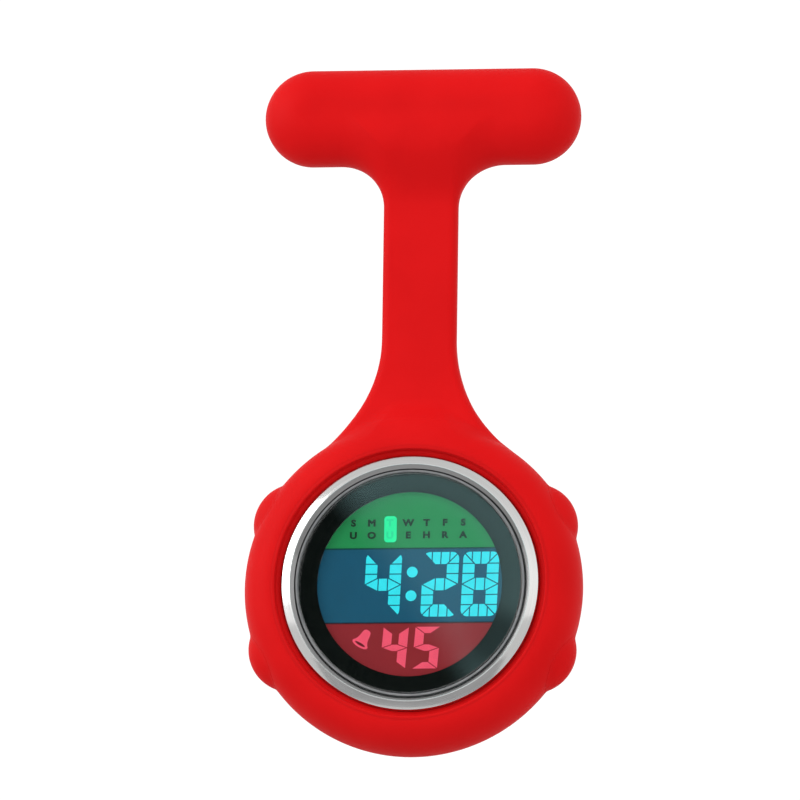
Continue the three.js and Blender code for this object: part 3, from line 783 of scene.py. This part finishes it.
def button_bump(name, angle, material):
    """The oval dome in the jacket's side over a button. Its foot runs out into the jacket."""
    front, back = depths_of(f"button_pad_{name}")
    depth_middle = (front + back) / 2
    cap = (BUMP_ARC**2 + BUMP_HEIGHT**2) / (2 * BUMP_HEIGHT)
    drop = cap - BUMP_HEIGHT
    rings, spokes = 22, 72
    middle = math.radians(angle)

    def place(share, turn, sink):
        y = depth_middle + BUMP_DEPTH * share * math.sin(turn)
        dome = math.sqrt(max(cap**2 - (BUMP_ARC * share) ** 2, 0)) - drop
        height = (dome + math.sqrt(dome**2 + BUMP_SOFTNESS**2)) / 2
        around = middle + BUMP_ARC * share * math.cos(turn) / RING_RADIUS
        return at_button(around, ring_radius_at(y) + height - sink, y)

    levels = [(BUMP_FOOT * (i + 1) / rings, 0) for i in range(rings)]
    levels += [(BUMP_FOOT, BUMP_SINK), (BUMP_FOOT / 2, 2 * BUMP_HEIGHT)]
    turns = [2 * math.pi * k / spokes for k in range(spokes)]
    vertices = [place(share, turn, sink) for share, sink in levels for turn in turns]
    top, bottom = len(vertices), len(vertices) + 1
    vertices += [place(0, 0, 0), place(0, 0, 2.5 * BUMP_HEIGHT)]
    faces = grid_faces(len(levels), spokes)
    last = (len(levels) - 1) * spokes
    for k in range(spokes):
        m = (k + 1) % spokes
        faces += [(top, k, m), (bottom, last + m, last + k)]
    piece = new_object(f"button_bump_{name}", vertices, faces)
    outward(piece)
    finish_piece(piece, material, "silicone", None, f"button_pad_{name}")
    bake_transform(piece)


SPRING_FROM, SPRING_LENGTH = 15.6, 1.85
SPRING_WIRE, SPRING_TURNS = 0.13, 3.5


def button_spring(name, angle, material):
    """A coiled return spring along a button's direction."""
    front, back = depths_of(f"button_spring_{name}")
    coil = (back - front) / 2 - SPRING_WIRE
    length = SPRING_LENGTH - 2 * SPRING_WIRE
    rings, sides = 84, 8
    middle = math.radians(angle)
    vertices = []
    for i in range(rings + 1):
        turn = 2 * math.pi * SPRING_TURNS * i / rings
        start = SPRING_FROM + SPRING_WIRE + length * i / rings
        for k in range(sides):
            round_wire = 2 * math.pi * k / sides
            off = coil + SPRING_WIRE * math.cos(round_wire)
            out = start + SPRING_WIRE * math.sin(round_wire)
            vertices.append(at_button(middle, out, CAP_Y + off * math.sin(turn), off * math.cos(turn)))
    faces = grid_faces(rings + 1, sides)
    faces += [tuple(range(sides)), tuple(rings * sides + k for k in range(sides))]
    piece = new_object(f"return_spring_{name}", vertices, faces)
    outward(piece)
    finish_piece(piece, material, "spring_steel", "head", f"button_spring_{name}")
    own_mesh(piece)


# ---------------------------------------------------------------- head pieces

BEZEL_FOOT, BEZEL_BORE = 15, 13.3
SKIRT_BACK, LEDGE_BACK = 1.3, 1.35  # how far behind the bezel's front
CRYSTAL_BEVEL = 0.09
GASKET_WIDTH = 0.3
BORDER_INNER = 12.7


def bezel(material):
    """The polished bezel: a sloped facet, a crest, a chamfer, and the bore that holds the crystal."""
    outer, front, back = BEZEL_RADIUS, BEZEL_LOW[1], BEZEL_HIGH[1]
    profile = [
        (BEZEL_FOOT, back),
        (BEZEL_FOOT, front + SKIRT_BACK),
        (outer - 0.2, front + SKIRT_BACK),
        (outer, front + 1.0),
        (outer - 0.13, front + 0.75),
        (outer - 0.15, front + 0.47),
        (outer - 1.15, front),
        (outer - 1.27, front),
        (outer - 1.75, front + 0.36),
        (outer - 1.75, front + LEDGE_BACK),
        (BEZEL_BORE, front + LEDGE_BACK),
        (BEZEL_BORE, back),
    ]
    piece = turned("bezel_ring", rounded(profile, 0.06), FINE, (0, DIAL_Z), sharp=50)
    finish_piece(piece, material, "bezel_steel", "head", "front_bezel")


def crystal(material):
    """The flat crystal, with a small bevel round its front."""
    edge = CRYSTAL_RADIUS
    profile = [
        (0, CRYSTAL_BACK),
        (edge, CRYSTAL_BACK),
        (edge, CRYSTAL_FRONT + CRYSTAL_BEVEL),
        (edge - CRYSTAL_BEVEL, CRYSTAL_FRONT),
        (0, CRYSTAL_FRONT),
    ]
    piece = turned("crystal_disc", profile, FINE, (0, DIAL_Z), sharp=20)
    finish_piece(piece, material, "crystal_glass", "head", "crystal")


def ring_profile(inner, outer, front, back):
    """The profile of a flat ring, as [radius, y] pairs."""
    return [(inner, back), (outer, back), (outer, front), (inner, front)]


def gasket(material):
    outer = radius_of("crystal_gasket")
    profile = ring_profile(outer - GASKET_WIDTH, outer, *depths_of("crystal_gasket"))
    piece = turned("crystal_seal_ring", rounded(profile, 0.1), FINE, (0, DIAL_Z))
    finish_piece(piece, material, "frame_plastic", "head", "crystal_gasket")


def crystal_border(material):
    """The black border printed on the crystal's back."""
    front = CRYSTAL_BACK + 0.005
    profile = ring_profile(BORDER_INNER, CRYSTAL_RADIUS - 0.02, front, front + 0.015)
    piece = turned("crystal_border_print", profile, FINE, (0, DIAL_Z))
    finish_piece(piece, material, "mask_ink", "head")


WINDOW_SHIFT, WINDOW_WIDE, WINDOW_HIGH = -0.14, 11.57, 11.68


def mask(material):
    """The black print round the display. Its window is slightly oval and off centre."""
    outer = radius_of("dial_mask")
    front, back = depths_of("dial_mask")
    vertices = []
    for i in range(FINE):
        c, s = math.cos(2 * math.pi * i / FINE), math.sin(2 * math.pi * i / FINE)
        for y in (back, front):
            vertices.append((WINDOW_SHIFT + WINDOW_WIDE * c, y, DIAL_Z + WINDOW_HIGH * s))
        vertices.append((outer * c, front, DIAL_Z + outer * s))
        vertices.append((outer * c, back, DIAL_Z + outer * s))
    piece = new_object("display_mask", vertices, grid_faces(FINE, 4, closed=True))
    outward(piece)
    sharpen(piece, 40)
    finish_piece(piece, material, "mask_ink", "head", "dial_mask")


# ---------------------------------------------------------------- display marks

MARK_THICKNESS = 0.03
MARK_GAP = 0.02
CELL_GAP = 0.145


def mark_back(layer):
    """The back of the marks in a layer, counted from the film outward."""
    return FILM_LOW[1] - MARK_GAP - layer * (MARK_THICKNESS + MARK_GAP)


def half_plane(polygon, point, normal):
    """The part of a convex polygon on the side of a line that its normal points to."""
    result = []
    for here, there in zip(polygon, polygon[1:] + polygon[:1]):
        a = (here[0] - point[0]) * normal[0] + (here[1] - point[1]) * normal[1]
        b = (there[0] - point[0]) * normal[0] + (there[1] - point[1]) * normal[1]
        if a >= 0:
            result.append(here)
        if (a >= 0) != (b >= 0):
            t = a / (a - b)
            result.append((here[0] + t * (there[0] - here[0]), here[1] + t * (there[1] - here[1])))
    return result


def rounded_box(x0, y0, x1, y1, radius, steps=6):
    corners = ((x1, y1, 0), (x0, y1, 90), (x0, y0, 180), (x1, y0, 270))
    points = []
    for x, y, start in corners:
        centre_x = x - math.copysign(radius, x - (x0 + x1) / 2)
        centre_y = y - math.copysign(radius, y - (y0 + y1) / 2)
        for step in range(steps + 1):
            turn = math.radians(start + 90 * step / steps)
            points.append((centre_x + radius * math.cos(turn), centre_y + radius * math.sin(turn)))
    return points


class Digit:
    """Seven segments in a box, met by slanting cuts, and each split into cells by thin gaps."""

    SEGMENTS = {"2": "abged", "4": "fgbc", "5": "afgcd", "8": "abcdefg"}

    def __init__(self, width, height, upright, level, corner, gap, slant, across=(), down=()):
        self.width, self.height = width, height
        self.upright, self.level, self.gap = upright, level, gap
        self.slant = math.tan(math.radians(slant))
        self.across, self.down = across, down
        self.outline = rounded_box(0, 0, width, height, corner)

    def cut(self, polygon, start, end, keep):
        """Cuts along a line from start to end, half a gap off it, on the side of the point keep."""
        along = (end[0] - start[0], end[1] - start[1])
        length = math.hypot(*along)
        normal = (-along[1] / length, along[0] / length)
        side = (keep[0] - start[0]) * normal[0] + (keep[1] - start[1]) * normal[1]
        if side < 0:
            normal = (-normal[0], -normal[1])
        half = self.gap / 2
        return half_plane(polygon, (start[0] + normal[0] * half, start[1] + normal[1] * half), normal)

    def segment(self, letter):
        w, h, t, s = self.width, self.height, self.upright, self.level
        middle = h / 2
        top, centre = (w / 2, h - s / 2), (w / 2, middle)
        if letter in "ad":
            polygon = half_plane(self.outline, (0, h - s), (0, 1))
            polygon = self.cut(polygon, (0, h), (t, h - s), top)
            polygon = self.cut(polygon, (w, h), (w - t, h - s), top)
            lines = self.across
        elif letter == "g":
            polygon = half_plane(self.outline, (0, middle + s / 2), (0, -1))
            polygon = half_plane(polygon, (0, middle - s / 2), (0, 1))
            for x, inner in ((0, t), (w, w - t)):
                for y in (middle + s / 2, middle - s / 2):
                    polygon = self.cut(polygon, (x, middle), (inner, y), centre)
            lines = self.middle_lines()
        else:
            side = (w - t / 2, (middle + h) / 2)
            polygon = half_plane(self.outline, (w - t, 0), (1, 0))
            polygon = half_plane(polygon, (0, middle), (0, 1))
            polygon = self.cut(polygon, (w, h), (w - t, h - s), side)
            polygon = self.cut(polygon, (w, middle), (w - t, middle + s / 2), side)
            lines = self.down
        return self.cells(polygon, letter, lines)

    def middle_lines(self):
        return [self.width * share for share in (0.37, 0.63)] if self.across else []

    def cells(self, polygon, letter, lines):
        """Splits a segment at its lines, then mirrors it to its own place."""
        axis = 0 if letter in "adg" else 1
        bounds = [-1e3, *lines, 1e3]
        found = []
        for low, high in zip(bounds, bounds[1:]):
            normal = (1, 0) if axis == 0 else (0, 1)
            back = (-normal[0], -normal[1])
            half = self.gap / 2
            part = half_plane(polygon, (low + half, low + half), normal)
            part = half_plane(part, (high - half, high - half), back)
            if len(part) > 2:
                found.append([self.mirrored(point, letter) for point in part])
        return found

    def mirrored(self, point, letter):
        x, y = point
        if letter in "ef":
            x = self.width - x
        if letter in "cde":
            y = self.height - y
        return x, y

    def shapes(self, digit, left, bottom):
        """The digit's cells, slanted, with the lower left corner of its box at a place."""
        found = []
        for letter in self.SEGMENTS[digit]:
            for cell in self.segment(letter):
                found.append([(left + x + y * self.slant, bottom + y) for x, y in cell])
        return found


def mark_piece(name, shapes, material, holes=()):
    """Flat shapes on the display, given round the dial's middle, as one thin piece."""
    vertices, faces = [], []
    back = mark_back(0)
    for shape, hole in zip(shapes, holes or [None] * len(shapes)):
        loops = [shape] if hole is None else [shape, hole]
        flat = [[Vector((x, y, 0)) for x, y in loop] for loop in loops]
        start = len(vertices)
        points = [point for loop in loops for point in loop]
        count = len(points)
        for y in (back, back - MARK_THICKNESS):
            vertices += [(x, y, DIAL_Z + z) for x, z in points]
        for corners in tessellate_polygon(flat):
            faces.append([start + k for k in corners])
            faces.append([start + count + k for k in reversed(corners)])
        offset = start
        for loop in loops:
            size = len(loop)
            for k in range(size):
                a, b = offset + k, offset + (k + 1) % size
                faces.append((a, b, b + count, a + count))
            offset += size
    piece = new_object(name, vertices, faces, smooth=False)
    outward(piece)
    finish_piece(piece, material, "display_film", "head")


def circle(x, z, radius, steps=40):
    """Points round a circle on the display."""
    turns = [2 * math.pi * i / steps for i in range(steps)]
    return [(x + radius * math.cos(t), z + radius * math.sin(t)) for t in turns]


def time_digits(material):
    large = Digit(
        width=4.5,
        height=8.17,
        upright=1.47,
        level=1.53,
        corner=0.85,
        gap=CELL_GAP,
        slant=2.3,
        across=(1.12, 2.22, 3.33),
        down=(5.43, 6.7),
    )
    shapes = []
    for digit, left in (("4", -5.97), ("2", 1.18), ("8", 6.2)):
        shapes += large.shapes(digit, left, -4.04)
    shapes += [circle(0.12, 1.62, 0.68), circle(0.0, -1.38, 0.68)]
    mark_piece("display_hours_minutes", shapes, material)


BELL_SCALE = 1.05
BELL_X, BELL_Z, BELL_TURN = -6.38, -7.58, -31


def bell():
    """A bell seen from a little below: its outline, and the dark slot of its mouth."""
    side = [(0.2, 2.05), (0.42, 1.9), (0.52, 1.6), (0.56, 1.2), (0.66, 0.75), (0.85, 0.42), (1.03, 0.22)]
    mouth = [(1.03 * math.cos(t), 0.12 - 0.36 * math.sin(t)) for t in (0.35, 0.8, 1.2, math.pi / 2)]
    right = side + mouth
    outline = right + [(-x, y) for x, y in reversed(right[:-1])]
    slot = [(0.68 * x, 0.16 + 0.16 * y) for x, y in circle(0, 0, 1, 28)]
    c, s = (BELL_SCALE * part(math.radians(BELL_TURN)) for part in (math.cos, math.sin))

    def put(points):
        return [(BELL_X + x * c - y * s, BELL_Z + x * s + y * c) for x, y in points]

    return put(outline), put(slot)


def seconds_digits(material, shade):
    small = Digit(width=3.16, height=5.28, upright=1.14, level=0.8, corner=0.12, gap=0.11, slant=4.6)
    shapes = small.shapes("4", -3.78, -10.6) + small.shapes("5", 0.22, -10.6)
    mark_piece("display_seconds", shapes, material)
    outline, slot = bell()
    mark_piece("display_bell", [outline], material, [slot])
    mark_piece("display_bell_slot", [slot], shade)


DAYS = ("SU", "MO", "TU", "WE", "TH", "FR", "SA")
FIRST_DAY, DAY_STEP = -7.33, 2.292
LETTER_ROWS = (7.9, 6.33)
LETTER_HEIGHT = 0.79
CAPITAL_SHARE = 0.69  # of the font's size that a capital is high
LETTER_BOLDNESS, LETTER_DEPTH, LETTER_WIDENING = 0.06, 0.02, 1.12
PILL_HALF_WIDTH, PILL_LOW, PILL_HIGH, PILL_CORNER = 0.78, 5.42, 8.75, 0.42
PILL_SHIFT = 0.06


def letter_piece(name, text, x, z, layer):
    """A small printed capital, centred on a place."""
    curve = bpy.data.curves.new(name, "FONT")
    curve.body = text
    curve.align_x = "CENTER"
    curve.size = LETTER_HEIGHT / CAPITAL_SHARE * MM
    curve.offset = LETTER_BOLDNESS * MM
    curve.resolution_u = 3
    curve.extrude = LETTER_DEPTH / 2 * MM
    holder = bpy.data.objects.new(name, curve)
    holder.rotation_euler = (math.pi / 2, 0, 0)
    holder.scale = (LETTER_WIDENING, 1, 1)
    holder.location = metres((x, mark_back(layer) - 0.015, DIAL_Z + z - LETTER_HEIGHT / 2))
    bpy.context.scene.collection.objects.link(holder)
    bpy.context.view_layer.update()
    mesh = bpy.data.meshes.new_from_object(holder.evaluated_get(bpy.context.evaluated_depsgraph_get()))
    mesh.transform(holder.matrix_world)
    bpy.data.objects.remove(holder)
    piece = bpy.data.objects.new(name, mesh)
    bpy.context.scene.collection.objects.link(piece)
    mesh.materials.clear()
    return piece


def joined(name, pieces):
    """One object from several, the first one's place and settings kept."""
    with bpy.context.temp_override(
        active_object=pieces[0], selected_editable_objects=pieces, object=pieces[0]
    ):
        bpy.ops.object.join()
    pieces[0].name = name
    return pieces[0]


def weekday_row(letters_ink, marked_ink, pill_ink):
    """The two-letter day names in a row, and a lit pill behind the marked day."""
    letters, marked = [], []
    today = DAYS.index("TU")
    for i, day in enumerate(DAYS):
        for text, z in zip(day, LETTER_ROWS):
            name = f"letter_{i}_{text}"
            x = FIRST_DAY + i * DAY_STEP
            letter = letter_piece(name, text, x, z, layer=int(i == today))
            (marked if i == today else letters).append(letter)
    finish_piece(joined("display_weekdays", letters), letters_ink, "display_film", "head")
    finish_piece(joined("display_marked_day", marked), marked_ink, "display_film", "head")
    x = FIRST_DAY + today * DAY_STEP + PILL_SHIFT
    pill = rounded_box(x - PILL_HALF_WIDTH, PILL_LOW, x + PILL_HALF_WIDTH, PILL_HIGH, PILL_CORNER)
    mark_piece("display_day_marker", [pill], pill_ink)


# ---------------------------------------------------------------- back pieces


SCREWS = range(1, 5)
SEAT_DEPTH = 0.37
SEAT_ROOM = 0.1
SCREW_HOLE = 0.65
SHANK_RADIUS = 0.5
HEAD_HEIGHT = 0.3
HEAD_ROUNDING = (0.07, 0.12)  # across and along the head's edge


def screw_place(number):
    """A screw's middle, as [x, z]."""
    low, high = box_of(f"case_back_screw_{number}")
    return (low[0] + high[0]) / 2, (low[2] + high[2]) / 2


def seat_cutter(number):
    """What the hole and the seat of a screw take out of the lid."""
    node = f"case_back_screw_{number}"
    room = radius_of(node) + SEAT_ROOM
    seat = depths_of(node)[1] - SEAT_DEPTH
    profile = [(0, seat - 4), (SCREW_HOLE, seat - 4), (SCREW_HOLE, seat), (room, seat), (room, 1), (0, 1)]
    return turned("seat_cutter", profile, 40, screw_place(number))


def cut_away(piece, cutter):
    """Cuts one closed mesh out of another, and removes the cutter."""
    cut = piece.modifiers.new("cut", "BOOLEAN")
    cut.operation = "DIFFERENCE"
    cut.solver = "EXACT"
    cut.object = cutter
    evaluated = piece.evaluated_get(bpy.context.evaluated_depsgraph_get())
    mesh = bpy.data.meshes.new_from_object(evaluated)
    piece.modifiers.clear()
    piece.data = mesh
    bpy.data.objects.remove(cutter)


LID_BORE = 11.5
LID_GROOVE = ((11.75, 0), (11.6, 0.08), (11.3, 0.08), (11.15, 0))
LID_CHAMFER = 0.2
LID_THICKNESS = 0.6


def case_back(material):
    """The lid: a flat middle inside a turned groove, with four screw seats."""
    radius = radius_of("case_back")
    front, back = depths_of("case_back")
    profile = [
        (0, back - LID_THICKNESS),
        (LID_BORE, back - LID_THICKNESS),
        (LID_BORE, front),
        (radius, front),
        (radius, back - LID_CHAMFER),
        (radius - LID_CHAMFER, back),
    ]
    profile += [(r, back - deep) for r, deep in LID_GROOVE]
    profile.append((0, back))
    lid = turned("case_lid", profile, 192, (0, DIAL_Z), sharp=20)
    for number in SCREWS:
        cut_away(lid, seat_cutter(number))
    sharpen(lid, 20)
    finish_piece(lid, material, "back_steel", "head", "case_back")


def screws(material):
    """Slotted screws with softly domed heads."""
    wide, high = HEAD_ROUNDING
    for number in SCREWS:
        node = f"case_back_screw_{number}"
        head = radius_of(node)
        tip, top = depths_of(node)
        under = top - HEAD_HEIGHT
        profile = [(0, tip), (SHANK_RADIUS, tip), (SHANK_RADIUS, under), (head, under), (head, top - high)]
        profile += [
            (head - wide + wide * math.cos(t), top - high + high * math.sin(t))
            for t in (0.5, 1.0, math.pi / 2)
        ]
        profile.append((0, top))
        piece = turned(f"lid_screw_{number}", profile, 48, screw_place(number), sharp=30)
        cut_away(piece, slot_cutter(*screw_place(number), top, lean=math.radians(20 + 50 * number)))
        sharpen(piece, 30)
        finish_piece(piece, material, "screw_steel", "head", node)


def slot_cutter(x, z, top, lean):
    """What a screwdriver's slot takes out of a screw's head."""
    half_long, half_wide, depth = 1.0, 0.13, 0.16
    c, s = math.cos(lean), math.sin(lean)
    vertices = []
    for y in (top - depth, top + 0.2):
        for u, v in ((-1, -1), (1, -1), (1, 1), (-1, 1)):
            across, along = u * half_long, v * half_wide
            vertices.append((x + across * c - along * s, y, z + across * s + along * c))
    faces = [(0, 1, 2, 3), (7, 6, 5, 4)]
    faces += [(k, k + 4, (k + 1) % 4 + 4, (k + 1) % 4) for k in range(4)]
    piece = new_object("slot_cutter", vertices, faces, smooth=False)
    outward(piece)
    return piece


# ---------------------------------------------------------------- stage, lights and camera

AZIMUTH, ELEVATION, ROLL = math.radians(7), math.radians(-12), math.radians(0.83)
LENS = 600
DISTANCE = 1.667
AIM_OFFSET = Vector((-2.2, -0.5, 1.4)) * MM
FLOOR_DROP, FLOOR_SIZE = 0.75, 24
LIT_PLACE = Vector((0, 0, -0.035))


def camera():
    """A long lens, a little below the watch and to its right, turned slightly about its axis."""
    towards = Vector(
        (
            math.sin(AZIMUTH) * math.cos(ELEVATION),
            -math.cos(AZIMUTH) * math.cos(ELEVATION),
            math.sin(ELEVATION),
        )
    )
    middle = (Vector(CAD_BOX[0]) + Vector(CAD_BOX[1])) / 2
    data = bpy.data.cameras.new("camera")
    data.lens = LENS
    data.clip_start, data.clip_end = 0.01, 30
    eye = bpy.data.objects.new("camera", data)
    eye.location = middle + AIM_OFFSET + towards * DISTANCE
    eye.rotation_mode = "QUATERNION"
    eye.rotation_quaternion = (-towards).to_track_quat("-Z", "Y") @ Quaternion((0, 0, 1), ROLL)
    bpy.context.scene.collection.objects.link(eye)
    bpy.context.scene.camera = eye
    return eye.location.copy()


def stage_quad(name, corners, place, surface):
    """One flat quad of the stage. Its corners are in metres, round its place."""
    mesh = bpy.data.meshes.new(name)
    mesh.from_pydata(corners, [], [(0, 1, 2, 3)])
    mesh.materials.append(surface.material)
    quad = bpy.data.objects.new(name, mesh)
    quad.location = place
    bpy.context.scene.collection.objects.link(quad)
    return quad


def floor():
    surface = grained("pale_floor", (0.8, 0.8, 0.8), (0.84, 0.84, 0.84), (0.6, 0.8), 40, 0.2)
    size = FLOOR_SIZE / 2
    corners = [(-size, -size, 0), (size, -size, 0), (size, size, 0), (-size, size, 0)]
    stage_quad("floor", corners, (0, 0, CAD_BOX[0][2] - FLOOR_DROP), surface)


def area_light(name, place, size, power, glossy):
    """A soft lamp aimed at the watch. Only a glossy one shows in the polished metal."""
    data = bpy.data.lights.new(name, "AREA")
    data.shape = "RECTANGLE"
    data.size, data.size_y = size
    data.energy = power
    lamp = bpy.data.objects.new(name, data)
    lamp.location = place
    lamp.rotation_mode = "QUATERNION"
    lamp.rotation_quaternion = (LIT_PLACE - Vector(place)).to_track_quat("-Z", "Y")
    lamp.visible_camera = False
    lamp.visible_glossy = glossy
    bpy.context.scene.collection.objects.link(lamp)


# The reflected panel's picture is laid out in crystal radii from the mirrored dial's middle: x to
# the right and z up.
PANEL_Y = -0.5
PANEL_LEVEL, PANEL_LEAST = 1.1, 0.02
PANEL_HALF = 1.3
PANEL_COLOUR = (0.56, 0.95, 0.97, 1)


def mirror_card(name, left, right, low, high, place, surface):
    """An upright card of the stage, which shows only in mirrors and through glass."""
    corners = [(left, 0, high), (right, 0, high), (right, 0, low), (left, 0, low)]
    card = stage_quad(name, corners, place, surface)
    card.visible_camera = False
    card.visible_diffuse = False
    card.visible_shadow = False
    return card


def reflection_panel(eye):
    """A soft-edged panel, dark to the lower left, where the crystal mirrors it to the camera."""
    start = Vector((0, CRYSTAL_FRONT, DIAL_Z)) * MM
    mirrored_eye = Vector((eye.x, 2 * start.y - eye.y, eye.z))
    reach = (PANEL_Y - start.y) / (start.y - mirrored_eye.y)
    unit = CRYSTAL_RADIUS * MM * (1 + reach)
    surface = Surface("panel_glow", Base_Color=BLACK, Specular_IOR_Level=0)
    across, up = (surface.math("DIVIDE", surface.axes()[axis], unit) for axis in "XZ")

    def soft(value, low, high):
        return surface.mapped(value, low, high, interpolation_type="SMOOTHSTEP")

    def clear_of(x, z, low, high):
        """Rises from 0 to 1 between two distances from a place."""
        off = surface.length(surface.math("SUBTRACT", across, x), surface.math("SUBTRACT", up, z))
        return soft(off, low, high)

    def at_least(least, factor):
        return surface.math("ADD", least, surface.math("MULTIPLY", factor, 1 - least))

    rightward, upward = surface.math("MULTIPLY", across, 0.82), surface.math("MULTIPLY", up, 0.57)
    level = soft(surface.math("ADD", rightward, upward), -0.24, 0.2)
    level = surface.math("MULTIPLY", level, at_least(0.35, clear_of(0.78, -0.52, 0.12, 0.42)))
    level = surface.math("MULTIPLY", level, at_least(0.5, clear_of(0, 0, 0.65, 0.95)))
    level = surface.math("ADD", level, PANEL_LEAST)
    surface.glow(surface.mixed(level, BLACK, PANEL_COLOUR), PANEL_LEVEL)
    half = PANEL_HALF * unit
    place = start + (start - mirrored_eye) * reach
    mirror_card("reflection_panel", -half, half, -half, half, place, surface)


def lower_card():
    """A grey card under the front of the watch, seen only in the polished metal."""
    surface = Surface("grey_card", Roughness=1.0, Base_Color=BLACK, Specular_IOR_Level=0)
    grey = surface.ramp(surface.noise(8), [(0.3, (0.34, 0.34, 0.345)), (0.7, (0.4, 0.4, 0.405))])
    surface.glow(grey, 1)
    card = mirror_card("lower_card", -0.4, 0.35, -0.1, 0.13, (-0.05, -0.42, -0.37), surface)
    card.visible_transmission = False


# How bright the surround is, by height: 0 straight down, 1 straight up.
SURROUND = [(0.0, 0.3), (0.25, 0.45), (0.46, 0.95), (0.62, 1.0), (0.8, 0.75), (1.0, 0.6)]
SURROUND_STRENGTH = 1.08


def studio():
    """An even white surround, dimmer overhead and darker below in front, and soft lamps."""
    world = bpy.data.worlds.new("studio")
    bpy.context.scene.world = world
    world.use_nodes = True
    tree = world.node_tree
    place = tree.nodes.new("ShaderNodeTexCoord")
    split = tree.nodes.new("ShaderNodeSeparateXYZ")
    tree.links.new(place.outputs["Generated"], split.inputs[0])
    share = tree.nodes.new("ShaderNodeMapRange")
    share.inputs["From Min"].default_value = -1
    tree.links.new(split.outputs["Z"], share.inputs["Value"])
    ramp = tree.nodes.new("ShaderNodeValToRGB")
    tree.links.new(share.outputs["Result"], ramp.inputs["Fac"])
    set_stops(ramp.color_ramp, [(height, (level,) * 3) for height, level in SURROUND])
    background = tree.nodes["Background"]
    tree.links.new(ramp.outputs["Color"], background.inputs["Color"])
    background.inputs["Strength"].default_value = SURROUND_STRENGTH
    area_light("key_light", (-0.6, -0.4, 0.25), (0.5, 0.5), 2.2, glossy=True)
    area_light("top_light", (-0.1, -0.35, 0.6), (0.5, 0.4), 0.9, glossy=False)
    area_light("fill_light", (0.45, -0.45, 0.0), (0.4, 0.6), 0.6, glossy=False)


# ---------------------------------------------------------------- the whole watch


def dress_cad_nodes(finishes):
    """Gives every CAD node that still shows the finish of its slot in the record."""
    for part in frame["record"]["subparts"]:
        node = frame["nodes"][part["node"]]
        finish = finishes.get(part["material_slot"])
        if finish is None or node.hide_render:
            continue
        for material_slot in node.material_slots:
            material_slot.material = finish


def build():
    bpy.context.scene.view_settings.view_transform = "Standard"
    eye = camera()
    floor()
    studio()
    reflection_panel(eye)
    lower_card()
    red = silicone()
    finishes = plain_materials()
    jacket(red)
    for name, angle in BUMP_ANGLES.items():
        button_bump(name, angle, red)
    for name, angle in CAP_ANGLES.items():
        button_spring(name, angle, finishes["spring_steel"])
    bezel(finishes["bezel_steel"])
    crystal(crystal_glass())
    gasket(finishes["frame_plastic"])
    crystal_border(finishes["mask_ink"])
    mask(finishes["mask_ink"])
    time_digits(lit_ink("lit_cyan", (0.032, 0.88, 1.0), 0.95))
    seconds_digits(
        lit_ink("lit_pink", (1.0, 0.093, 0.17), 0.95),
        lit_ink("unlit_red", (0.13, 0.008, 0.012), 1.0),
    )
    weekday_row(
        lit_ink("green_ink", (0.001, 0.022, 0.008), 1.0),
        lit_ink("shaded_green_ink", (0.011, 0.8, 0.33), 1.0),
        lit_ink("lit_green", (0.012, 1.0, 0.4), 0.95),
    )
    case_back(finishes["back_steel"])
    screws(finishes["screw_steel"])
    dress_cad_nodes(finishes)
    band = band_film()
    for material_slot in frame["nodes"]["colour_film"].material_slots:
        material_slot.material = band


build()
